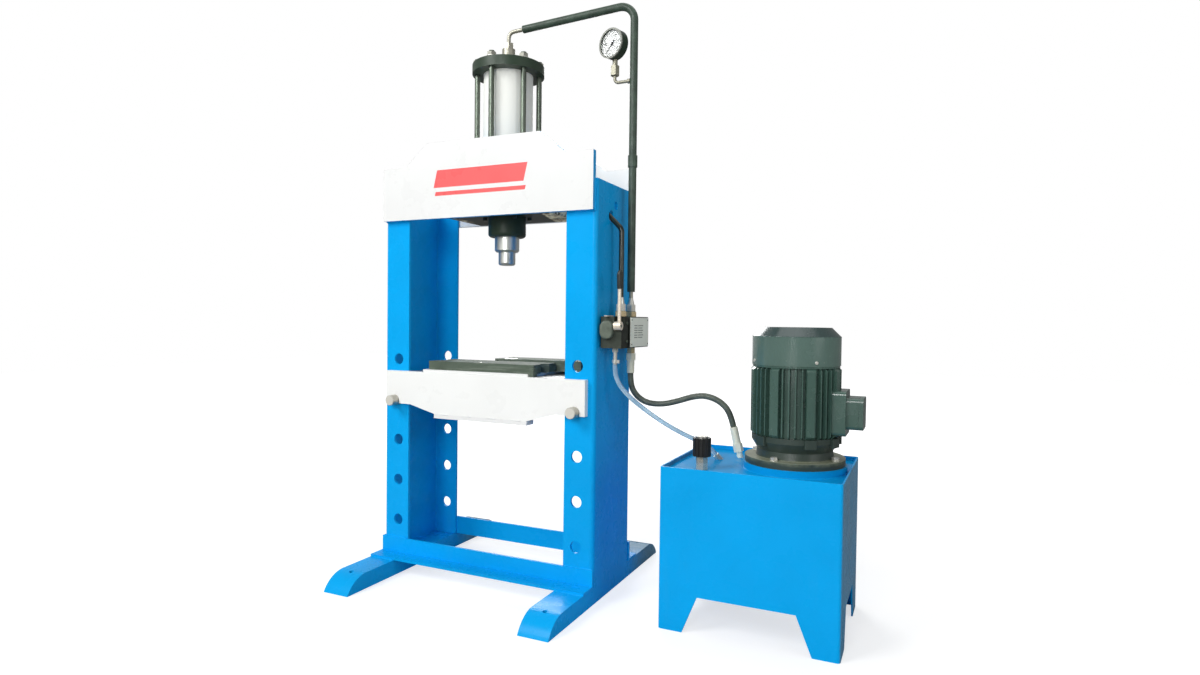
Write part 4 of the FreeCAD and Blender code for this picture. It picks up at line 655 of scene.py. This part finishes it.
def special_finishes():
    """Nodes whose finish differs from the rest of their slot."""
    return {
        "crosshead_front_plate": two_tone(),
        # The tank's right side, darkened to olive: painted shade.
        "tank_body": darkened_blue("tank_blue", "side", 0.7, 0.95, 0.55),
        "right_foot": darkened_blue("foot_blue", "Y", 0.16, 0.30, 0.8),
        "crosshead_base": crosshead_base(),
        "tank_deck": glossy_blue(),
        "motor_end_shield": flange_iron(),
        "fan_cover": hood_paint(),
        "front_press_plate": press_plate_steel("front_plate_steel"),
        "rear_press_plate": press_plate_steel("rear_plate_steel"),
        "left_pin": pin_steel(),
        "right_pin": pin_steel(),
        "ram": ram_chrome(),
        "pipe_sleeve": rubber("sleeve_foam", (0.036, 0.060, 0.042), 2.0),
        "cylinder_barrel": lit_barrel_enamel(),
        "lower_cylinder_pipe": plastic("pipe_enamel", (0.016, 0.024, 0.018), 0.16).material,
        "valve_lever": cream_steel("lever_cream", (0.88, 0.78, 0.64), 0.3, 0.4),
        "relief_knob": knob_finish(),
        "relief_valve_body": relief_body(),
        "hose_end_fittings": cream_steel("fitting_cream", (0.93, 0.89, 0.72), 0.34, 0.15),
        "pipe_nuts": cream_steel("pipe_nut_cream", (0.76, 0.75, 0.68), 0.3, 0.4),
        "tie_rod_nuts": cream_steel("nut_steel", (0.30, 0.30, 0.26), 0.5, 0.6),
        "gauge_branch": cream_steel("branch_steel", (0.34, 0.33, 0.26), 0.45, 0.7),
        "pressure_pipe": cream_steel("pipe_steel", (0.42, 0.41, 0.34), 0.4, 0.7),
        "lever_housing": lever_housing_cast(),
        "gauge_bezel": cream_steel("bezel_steel", (0.30, 0.31, 0.28), 0.4, 0.7),
        "left_foot": darkened_blue("left_foot_blue", "Y", 0.16, 0.30, 0.8),
        "bed_front_plate": table_white(),
        "crosshead_rear_plate": lit_rear_white(),
    }


SLOTS = {part["node"]: part["material_slot"] for part in frame["record"]["subparts"]}
materials = make_materials()


def dress_nodes():
    """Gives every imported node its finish."""
    special = special_finishes()
    for name, node in nodes.items():
        finish = special.get(name, materials[SLOTS[name]])
        if not node.material_slots:
            node.data.materials.append(finish)
        for socket in node.material_slots:
            socket.material = finish


# ---------------------------------------------------------------- forms for the added pieces

def facing(place, normal):
    """A frame at a place whose Z points along normal and whose Y is as near to up as it can be."""
    forward = normal.normalized()
    side = UPWARD.cross(forward)
    if side.length < 0.01:
        side = RIGHTWARD.cross(forward)
    side.normalize()
    turn = Matrix((side, forward.cross(side), forward)).transposed()
    return Matrix.Translation(place) @ turn.to_4x4()


class Shape:
    """A mesh put together from turned, flat and swept forms, each closed."""

    def __init__(self):
        self.mesh = bmesh.new()

    def skin(self, rings, looped=False):
        """Faces between rings of equal count, with both ends closed unless they meet."""
        rings = [[self.mesh.verts.new(point) for point in ring] for ring in rings]
        following = rings[1:] + rings[:1] if looped else rings[1:]
        for first, second in zip(rings, following):
            for here in range(len(first)):
                after = (here + 1) % len(first)
                self.mesh.faces.new((first[here], first[after], second[after], second[here]))
        if not looped:
            self.mesh.faces.new(rings[0])
            self.mesh.faces.new(rings[-1])

    def turn(self, at, profile, sides=32, looped=False):
        """A profile of (radius, height) turned about the Z of a frame."""
        self.skin([[at @ Vector((radius * math.cos(math.tau * k / sides),
                                 radius * math.sin(math.tau * k / sides), height))
                    for k in range(sides)] for radius, height in profile], looped)

    def plate(self, at, outline, bottom, top):
        """A flat form: an outline in the X and Y of a frame, from one height to another."""
        self.skin([[at @ Vector((x, y, height)) for x, y in outline] for height in (bottom, top)])

    def sweep(self, path, radius, sides=8, looped=False):
        """A round section drawn along a path; radius gives its size at each point's number."""
        count = len(path)
        rings = []
        side = None
        for number, point in enumerate(path):
            before = path[number - 1] if number or looped else point
            after = path[(number + 1) % count] if number < count - 1 or looped else point
            ahead = (after - before).normalized()
            if side is None:
                side = ahead.orthogonal().normalized()
            side = (side - ahead * side.dot(ahead)).normalized()
            other = ahead.cross(side)
            size = radius(number)
            rings.append([point + size * (side * math.cos(math.tau * k / sides)
                                          + other * math.sin(math.tau * k / sides))
                          for k in range(sides)])
        self.skin(rings, looped)

    def piece(self, name, body, slot, finish=None):
        """Makes the object, riding on a body and finished as a slot of the record."""
        bmesh.ops.recalc_face_normals(self.mesh, faces=self.mesh.faces)
        data = bpy.data.meshes.new(name)
        self.mesh.to_mesh(data)
        self.mesh.free()
        data.shade_smooth()
        data.set_sharp_from_angle(angle=math.radians(40))
        data.materials.append(finish or materials[slot])
        made = bpy.data.objects.new(name, data)
        scene.collection.objects.link(made)
        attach(made, body)


def rectangle(width, height, slant=0.0):
    """Corners about the middle; slant moves the top to the right and the bottom to the left."""
    w, h = width / 2, height / 2
    return [(-w - slant, -h), (w - slant, -h), (w + slant, h), (-w + slant, h)]


# ---------------------------------------------------------------- welds

WELD_STEP = 2 * MM
WELD_PITCH = 5 * MM
HEAVY_WELD, PLATE_WELD, RING_WELD, STITCH_WELD = 4.5 * MM, 3.5 * MM, 3 * MM, 2.5 * MM
PLATE_WELD_INNER = 327 * MM
FOOT_WELD_INNER, FOOT_WELD_OUTER = 332 * MM, 433 * MM
DECK_RING_RADIUS, DECK_RING_RISE = 157 * MM, 21 * MM
# Millimetres.
STITCH_PLACES, STITCH_LENGTH = (-150, -50, 50, 150), 36


def weld_path(start, end):
    """Points on a straight weld, a small step apart."""
    steps = max(2, round((end - start).length / WELD_STEP))
    return [start.lerp(end, k / steps) for k in range(steps + 1)]


def ripple(size):
    """A weld's radius at each step: small scales, one behind the other."""
    per_scale = WELD_PITCH / WELD_STEP
    return lambda number: size * (0.86 + 0.14 * math.cos(math.tau * number / per_scale))


def make_frame_welds():
    """Fillet welds that hold the crosshead's plates and the feet to the columns."""
    welds = Shape()
    column_top = high("left_column").z
    for side in (-1, 1):
        outer = PRESS.x + side * (PLATE_HIGH.x - PLATE_LOW.x) / 2
        inner = PRESS.x + side * PLATE_WELD_INNER
        for face, plate in ((COLUMN_FRONT, "crosshead_front_plate"),
                            (COLUMN_BACK, "crosshead_rear_plate")):
            under = low(plate).z
            corner = Vector((outer, face, under))
            welds.sweep(weld_path(Vector((inner, face, under)), corner), ripple(HEAVY_WELD))
            welds.sweep(weld_path(corner, Vector((outer, face, column_top - 4 * MM))),
                        ripple(PLATE_WELD))
        foot_in = PRESS.x + side * FOOT_WELD_INNER
        foot_out = PRESS.x + side * FOOT_WELD_OUTER
        for sign, angle in ((-1, "front_base_angle"), (1, "rear_base_angle")):
            angle_top = high(angle).z
            edge = sign * abs(ANGLE_FRONT)
            face = sign * abs(COLUMN_FRONT)
            for y, z in ((edge, FOOT_TOP), (face, angle_top)):
                welds.sweep(weld_path(Vector((foot_in, y, z)), Vector((foot_out, y, z))),
                            ripple(PLATE_WELD))
    welds.piece("frame_welds", "frame", "blue_enamel")


def make_deck_weld():
    """The bead round the foot of the motor's mounting ring."""
    weld = Shape()
    foot = Vector((MOTOR.x, MOTOR.y, high("tank_deck").z - DECK_RING_RISE))
    steps = round(math.tau * DECK_RING_RADIUS / WELD_STEP)
    weld.sweep(circle(foot, DECK_RING_RADIUS, steps), ripple(RING_WELD), looped=True)
    weld.piece("deck_weld", "frame", "blue_enamel", nodes["tank_deck"].material_slots[0].material)


def make_table_welds():
    """Short stitches between the table's front plate and the strips under its middle."""
    welds = Shape()
    plate = low("bed_front_plate")
    for x in STITCH_PLACES:
        start = Vector((PRESS.x + (x - STITCH_LENGTH / 2) * MM, plate.y, plate.z))
        end = start + Vector((STITCH_LENGTH * MM, 0, 0))
        welds.sweep(weld_path(start, end), ripple(STITCH_WELD))
    welds.piece("table_welds", "bed", "white_enamel")


# ---------------------------------------------------------------- crosshead and cylinder

# Millimetres; the slant is a share of the height.
STRIPE_X, STRIPE_WIDTH, STRIPE_SLANT = -8, 372, 0.12
BAND_Z, BAND_HEIGHT = 1433, 62
LINE_Z, LINE_HEIGHT = 1380, 14


def make_crosshead_stripes():
    """A plain red band with a thin line under it, across the front plate."""
    stripes = Shape()
    finish = paint("red_enamel", (0.88, 0.14, 0.14), 0.3, soil=0.02).material
    for z, height in ((BAND_Z, BAND_HEIGHT), (LINE_Z, LINE_HEIGHT)):
        place = Vector((PRESS.x + STRIPE_X * MM, PLATE_LOW.y, z * MM))
        outline = rectangle(STRIPE_WIDTH * MM, height * MM, STRIPE_SLANT * height * MM)
        stripes.plate(facing(place, FRONTWARD), outline, -0.3 * MM, 0.25 * MM)
    stripes.piece("crosshead_stripes", "frame", "needle_red", finish)


TIE_COUNT = 6
TIE_REACH = 112 * MM
THREAD_RADIUS, THREAD_SIZE = 9.9 * MM, 0.55 * MM
THREAD_TURNS, THREAD_STEPS = 2, 24
WASHER_PROFILE = ((17.6, -0.5), (18.4, 0.3), (18.4, 1.8), (17.8, 2.4))


def make_tie_rod_details():
    """A washer under each nut and the thread's turns on each rod's end."""
    washers, threads = Shape(), Shape()
    cap_top = high("cylinder_top_cap").z
    rod_top = high("tie_rods").z
    nut_top = high("tie_rod_nuts").z
    steps = THREAD_TURNS * THREAD_STEPS
    for k in range(TIE_COUNT):
        angle = math.tau * k / TIE_COUNT
        centre = Vector((PRESS.x + TIE_REACH * math.sin(angle), -TIE_REACH * math.cos(angle), 0))
        washers.turn(Matrix.Translation(centre), in_mm(WASHER_PROFILE, cap_top))
        path = [centre + Vector((THREAD_RADIUS * math.cos(math.tau * n / THREAD_STEPS),
                                 THREAD_RADIUS * math.sin(math.tau * n / THREAD_STEPS),
                                 nut_top + (rod_top - nut_top - 0.8 * MM) * n / steps
                                 + 0.3 * MM)) for n in range(steps + 1)]
        threads.sweep(path, lambda number: THREAD_SIZE, 5)
    washers.piece("tie_rod_washers", "frame", "bright_steel")
    threads.piece("tie_rod_threads", "frame", "dark_steel")


# ---------------------------------------------------------------- gauge

GAUGE_TURN = math.radians(17)
GAUGE_NORMAL = Vector((-math.sin(GAUGE_TURN), -math.cos(GAUGE_TURN), 0))
SCALE_START, SCALE_SWEEP = math.radians(225), math.radians(270)
SCALE_STEPS, SCALE_NUMBERS = 50, 5
GLASS_TO_DIAL = 8.4  # millimetres
LONG_TICK, SHORT_TICK = (5.5 * MM, 0.9 * MM), (2.8 * MM, 0.45 * MM)
TICK_REACH = 40 * MM
ARC_RADIUS, ARC_SIZE, ARC_STEPS = 40.6 * MM, 0.25 * MM, 90
NUMBER_REACH, NUMBER_SIZE, NUMBER_STEP = 29.5 * MM, 7.5 * MM, 100


def scale_angle(number, count):
    """The direction of one of the scale's equal parts, clockwise from its zero."""
    return SCALE_START - SCALE_SWEEP * number / count


def make_gauge_marks(at, ink):
    """The dial's ticks and the fine arc that joins their ends."""
    marks = Shape()
    for step in range(SCALE_STEPS + 1):
        length, width = SHORT_TICK if step % (SCALE_STEPS // SCALE_NUMBERS) else LONG_TICK
        spoke = at @ Matrix.Rotation(scale_angle(step, SCALE_STEPS), 4, "Z")
        spoke = spoke @ Matrix.Translation((TICK_REACH - length / 2, 0, 0))
        marks.plate(spoke, rectangle(length, width), -0.1 * MM, 0.12 * MM)
    angles = [scale_angle(k, ARC_STEPS) for k in range(ARC_STEPS + 1)]
    arc = [at @ Vector((ARC_RADIUS * math.cos(a), ARC_RADIUS * math.sin(a), 0.05 * MM))
           for a in angles]
    marks.sweep(arc, lambda number: ARC_SIZE, 5)
    marks.piece("gauge_marks", "frame", "dial_white", ink)


def make_gauge_dial():
    """Dark ticks and plain numbers on the gauge's dial, from lower left to lower right."""
    at = facing(middle("gauge_glass") - GAUGE_NORMAL * GLASS_TO_DIAL * MM, GAUGE_NORMAL)
    ink = plastic("dial_ink", (0.20, 0.21, 0.20), 0.5).material
    make_gauge_marks(at, ink)
    for number in range(SCALE_NUMBERS + 1):
        angle = scale_angle(number, SCALE_NUMBERS)
        spot = Vector((NUMBER_REACH * math.cos(angle), NUMBER_REACH * math.sin(angle), 0.1 * MM))
        data = bpy.data.curves.new("gauge_number_%d" % number, "FONT")
        data.body = str(NUMBER_STEP * number)
        data.size = NUMBER_SIZE
        data.align_x = "CENTER"
        data.align_y = "CENTER"
        data.extrude = 0.05 * MM
        data.materials.append(ink)
        made = bpy.data.objects.new("gauge_number_%d" % number, data)
        scene.collection.objects.link(made)
        made.matrix_world = at @ Matrix.Translation(spot)
        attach(made, "frame")


# ---------------------------------------------------------------- valve

def screw_head(shape, at, radius, height, slot_width=None):
    """A domed head; its slot is a pair of raised halves with a gap between them."""
    if slot_width is None:
        shape.turn(at, [(radius, -height / 2), (radius, height * 0.5), (radius * 0.8, height),
                        (radius * 0.45, height), (radius * 0.45, height * 0.3)], 20)
        return
    shape.turn(at, [(radius, -height / 2), (radius, height * 0.4), (radius * 0.94, height * 0.55)],
               24)
    for side in (-1, 1):
        half = [(side * slot_width / 2, -radius * 0.85)]
        half += [(side * max(slot_width / 2, radius * 0.92 * math.cos(a)),
                  radius * 0.92 * math.sin(a)) for a in
                 (math.radians(-66 + 22 * k) for k in range(7))]
        half += [(side * slot_width / 2, radius * 0.85)]
        shape.plate(at, half, height * 0.4, height)


PLATE_SCREW_INSET = 8 * MM
SOCKET_INSET, SOCKET_RISE = 10 * MM, 22 * MM
LIP_WIDTH, LIP_DEPTH, LIP_BACK = 50 * MM, 11 * MM, 24 * MM
BAR_ROWS = 6
# Millimetres.
BAR_PITCH, BAR_HEIGHT = 8, 3.2
BARS_LEFT, BARS_TOP = 30, 27
LEFT_BAR, RIGHT_BAR_START, RIGHT_BAR, RIGHT_BAR_CUT = 30, 36, 46, 7


def make_plate_screws():
    """Slotted screws in the corners of the valve's plate."""
    plate_low, plate_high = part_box("valve_plate")
    screws = Shape()
    for y in (plate_low.y + PLATE_SCREW_INSET, plate_high.y - PLATE_SCREW_INSET):
        for z in (plate_low.z + PLATE_SCREW_INSET, plate_high.z - PLATE_SCREW_INSET):
            screw_head(screws, facing(Vector((plate_high.x, y, z)), RIGHTWARD), radius=2.6 * MM,
                       height=1.2 * MM, slot_width=0.8 * MM)
    screws.piece("valve_plate_screws", "frame", "dark_steel")


def make_plate_bars():
    """Rows of plain bars on the valve's plate; every second row ends sooner."""
    plate_low, plate_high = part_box("valve_plate")
    bars = Shape()
    ink = plastic("plate_ink", (0.30, 0.32, 0.28), 0.5).material
    for row in range(BAR_ROWS):
        right_bar = RIGHT_BAR - RIGHT_BAR_CUT * (row % 2)
        for start, length in ((0, LEFT_BAR), (RIGHT_BAR_START, right_bar)):
            centre = Vector((plate_high.x, plate_low.y + (BARS_LEFT + start + length / 2) * MM,
                             plate_high.z - (BARS_TOP + BAR_PITCH * row) * MM))
            bars.plate(facing(centre, RIGHTWARD), rectangle(length * MM, BAR_HEIGHT * MM),
                       -0.1 * MM, 0.12 * MM)
    bars.piece("valve_plate_bars", "frame", "plate_silver", ink)


def make_lever_housing_details():
    """Socket screws in the lever housing's side, and the bright lip on its top."""
    housing_low, housing_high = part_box("lever_housing")
    sockets = Shape()
    for z in (housing_low.z + SOCKET_RISE, housing_high.z - SOCKET_RISE):
        place = Vector((housing_high.x, housing_high.y - SOCKET_INSET, z))
        screw_head(sockets, facing(place, RIGHTWARD), radius=5 * MM, height=3 * MM)
    sockets.piece("lever_housing_screws", "frame", "dark_steel")
    lip = Shape()
    centre = Vector((housing_low.x + LIP_WIDTH / 2 + 1.5 * MM, housing_low.y + LIP_BACK,
                     housing_high.z))
    lip.plate(facing(centre, UPWARD), rectangle(LIP_WIDTH, LIP_DEPTH), -0.3 * MM, 3 * MM)
    lip.piece("lever_housing_lip", "frame", "bright_steel")


GRIP_RINGS = 5
# Millimetres.
GRIP_RING_START, GRIP_RING_PITCH = 6, 4
GRIP_RADIUS, GRIP_SPREAD = 8.5, 1.5


def make_grip_ridges():
    """Fine rings moulded round the lever's grip."""
    grip_low, grip_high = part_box("lever_grip")
    centre = middle("lever_grip")
    rings = Shape()
    for k in range(GRIP_RINGS):
        z = grip_low.z + (GRIP_RING_START + GRIP_RING_PITCH * k) * MM
        up_grip = (z - grip_low.z) / (grip_high.z - grip_low.z)
        reach = (GRIP_RADIUS + GRIP_SPREAD * up_grip) * MM
        rings.turn(Matrix.Translation((centre.x, centre.y, z)),
                   [(reach - 1 * MM, -0.8 * MM), (reach + 0.5 * MM, -0.3 * MM),
                    (reach + 0.5 * MM, 0.3 * MM), (reach - 1 * MM, 0.8 * MM)], 24, True)
    rings.piece("grip_ridges", "lever", "black_plastic")


# ---------------------------------------------------------------- pipes and hoses

FERRULE_RINGS = 4
# Millimetres.
CONE_Z, CONE_FOOT = 992, 12.5
PRESSURE_CONE_TOP, LOWER_CONE_TOP = 7.6, 9.4
# The ring of painted shade under each nut.
NUT_SHADOW_PROFILE = ((16.8, -1.5), (16.8, 1.5))
FERRULE_RING_Z, FERRULE_RING_PITCH = 761, 9
FERRULE_RING_PROFILE = ((12.4, -1.6), (13.5, -1.1), (13.5, 1.1), (12.4, 1.6))


def make_pipe_cones():
    """Bright tapered sleeves above the nuts on the valve, and dark rings under the nuts that are
    painted shade.
    """
    cones = Shape()
    for y, top in ((PRESSURE_PIPE_Y, PRESSURE_CONE_TOP), (LOWER_PIPE_Y, LOWER_CONE_TOP)):
        profile = ((CONE_FOOT, -0.5), (CONE_FOOT * 0.96, 2), (top, 20), (top * 0.96, 22))
        cones.turn(Matrix.Translation(at_press(PORT_X, y, CONE_Z)), in_mm(profile))
    cones.piece("pipe_cones", "frame", "bright_steel")
    # Dark rings under the nuts: painted shade where each nut meets its adapter.
    shadow_rings = Shape()
    for y in (PRESSURE_PIPE_Y, LOWER_PIPE_Y):
        place = at_press(PORT_X, y, low("pipe_nuts").z / MM)
        shadow_rings.turn(Matrix.Translation(place), in_mm(NUT_SHADOW_PROFILE))
    shadow_rings.piece("nut_shadow_rings", "frame", "dark_steel")


def make_ferrule_rings():
    """Crimped rings round the hose's ferrule below the valve."""
    rings = Shape()
    for k in range(FERRULE_RINGS):
        z = FERRULE_RING_Z + FERRULE_RING_PITCH * k
        rings.turn(Matrix.Translation(at_press(PORT_X, PRESSURE_PORT_Y, z)),
                   in_mm(FERRULE_RING_PROFILE), looped=True)
    rings.piece("ferrule_rings", "frame", "bright_steel",
                nodes["hose_end_fittings"].material_slots[0].material)


# ---------------------------------------------------------------- power unit

HOOD_SCREW_AZIMUTHS = (-58, 35, 122, 215)
HOOD_RADIUS, HOOD_SCREW_RISE, HOOD_SHOULDER = 133 * MM, 12 * MM, 28 * MM
HOOD_FOLD_SIZE, HOOD_FOLD_SUNK, HOOD_FOLD_STEPS = 1.4 * MM, 0.8 * MM, 96
LID_SCREW_INSET, LID_SCREW_SUNK = 10 * MM, 0.8 * MM


def make_motor_screws():
    """Slotted screws round the fan's hood and at the terminal box's lid."""
    screws = Shape()
    level = Vector((MOTOR.x, MOTOR.y, low("fan_cover").z + HOOD_SCREW_RISE))
    for azimuth in HOOD_SCREW_AZIMUTHS:
        angle = math.radians(azimuth)
        out = Vector((math.sin(angle), -math.cos(angle), 0))
        screw_head(screws, facing(level + HOOD_RADIUS * out, out), radius=5.2 * MM,
                   height=2.6 * MM, slot_width=1.3 * MM)
    box_low, box_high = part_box("terminal_box")
    for y in (box_low.y + LID_SCREW_INSET, box_high.y - LID_SCREW_INSET):
        for z in (box_low.z + LID_SCREW_INSET, box_high.z - LID_SCREW_INSET):
            place = Vector((box_high.x - LID_SCREW_SUNK, y, z))
            screw_head(screws, facing(place, RIGHTWARD), radius=4 * MM, height=0.9 * MM,
                       slot_width=1.2 * MM)
    screws.piece("motor_screws", "frame", "bright_steel")


def make_hood_edge():
    """The rounded fold between the hood's side and its sloping shoulder."""
    edge = Shape()
    centre = Vector((MOTOR.x, MOTOR.y, high("fan_cover").z - HOOD_SHOULDER))
    edge.sweep(circle(centre, HOOD_RADIUS - HOOD_FOLD_SUNK, HOOD_FOLD_STEPS),
               lambda number: HOOD_FOLD_SIZE, looped=True)
    edge.piece("hood_edge", "frame", "motor_paint", nodes["fan_cover"].material_slots[0].material)


# ---------------------------------------------------------------- loose plates on the table

# Millimetres from the ram's axis, and each turned profile in millimetres.
DISC_X, DISC_Y = -5, 44
DISC_PROFILE = ((25, -1), (25, 0.5), (23.5, 0.9), (16, 0.9), (15.4, 0.4), (14.6, 0.4), (14, 0.9),
                (5, 0.9), (4, 0.2))
PLUG_X, PLUG_Y = -27, -128
PLUG_PROFILE = ((6, -1), (6, 0.3), (5, 0.6), (2, 0.6), (1.6, 0.1))


def make_press_plate_marks():
    """A turned centre disc in the rear plate and a small plug in the front one."""
    marks = Shape()
    disc = Vector((PRESS.x + DISC_X * MM, DISC_Y * MM, high("rear_press_plate").z))
    marks.turn(Matrix.Translation(disc), in_mm(DISC_PROFILE), 48)
    plug = Vector((PRESS.x + PLUG_X * MM, PLUG_Y * MM, high("front_press_plate").z))
    marks.turn(Matrix.Translation(plug), in_mm(PLUG_PROFILE), 24)
    marks.piece("press_plate_marks", "bed", "bright_steel")


# ---------------------------------------------------------------- hoses

# Points along each hose in its own upright plane: distance from the valve's ports, and height.
PRESSURE_SLOPE, DRAIN_SLOPE = 0.144, 0.4025
PRESSURE_POINTS = [(0, 754), (0, 711), (23, 672.5), (61, 650), (117, 649), (170, 663),
                   (218, 680), (263, 685), (311, 667), (344, 630), (355, 583)]
DRAIN_POINTS = [(0, 790), (0, 756), (17, 717), (51, 677), (100, 636), (157, 595), (215, 561),
                (263, 539.5), (294, 520), (311, 499)]


def hose_curve(name, points, start, slope, diameter, slot):
    """A round hose along one smooth curve whose control points are the route's."""
    route = [at_press(PORT_X + x, start + slope * x, z) for x, z in points]
    data = bpy.data.curves.new(name, "CURVE")
    data.dimensions = "3D"
    data.bevel_depth = diameter / 2
    data.bevel_resolution = 6
    data.resolution_u = 16
    data.use_fill_caps = True
    spline = data.splines.new("NURBS")
    spline.points.add(len(route) - 1)
    for spot, place in zip(spline.points, route):
        spot.co = (*place, 1)
    spline.order_u = 3
    spline.use_endpoint_u = True
    data.materials.append(materials[slot])
    made = bpy.data.objects.new(name, data)
    scene.collection.objects.link(made)
    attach(made, "frame")
    return made, route[0]


def make_hoses():
    """The rubber hose to the valve and the clear hose back to the tank."""
    hose, exit_place = hose_curve("pressure_hose_cover", PRESSURE_POINTS, PRESSURE_PORT_Y,
                                  PRESSURE_SLOPE, 0.0205, "hose_rubber")
    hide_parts("pressure_hose")
    hose, exit_place = hose_curve("drain_hose_tube", DRAIN_POINTS, DRAIN_PORT_Y, DRAIN_SLOPE,
                                  0.015, "clear_hose")
    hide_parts("drain_hose")


# ---------------------------------------------------------------- everything together

make_camera()
make_lights()
make_world()
make_floor()
make_hoses()
dress_nodes()
make_frame_welds()
make_deck_weld()
make_table_welds()
make_crosshead_stripes()
make_tie_rod_details()
make_gauge_dial()
make_plate_screws()
make_plate_bars()
make_lever_housing_details()
make_grip_ridges()
make_pipe_cones()
make_ferrule_rings()
make_motor_screws()
make_hood_edge()
make_press_plate_marks()

scene.view_settings.view_transform = "Standard"
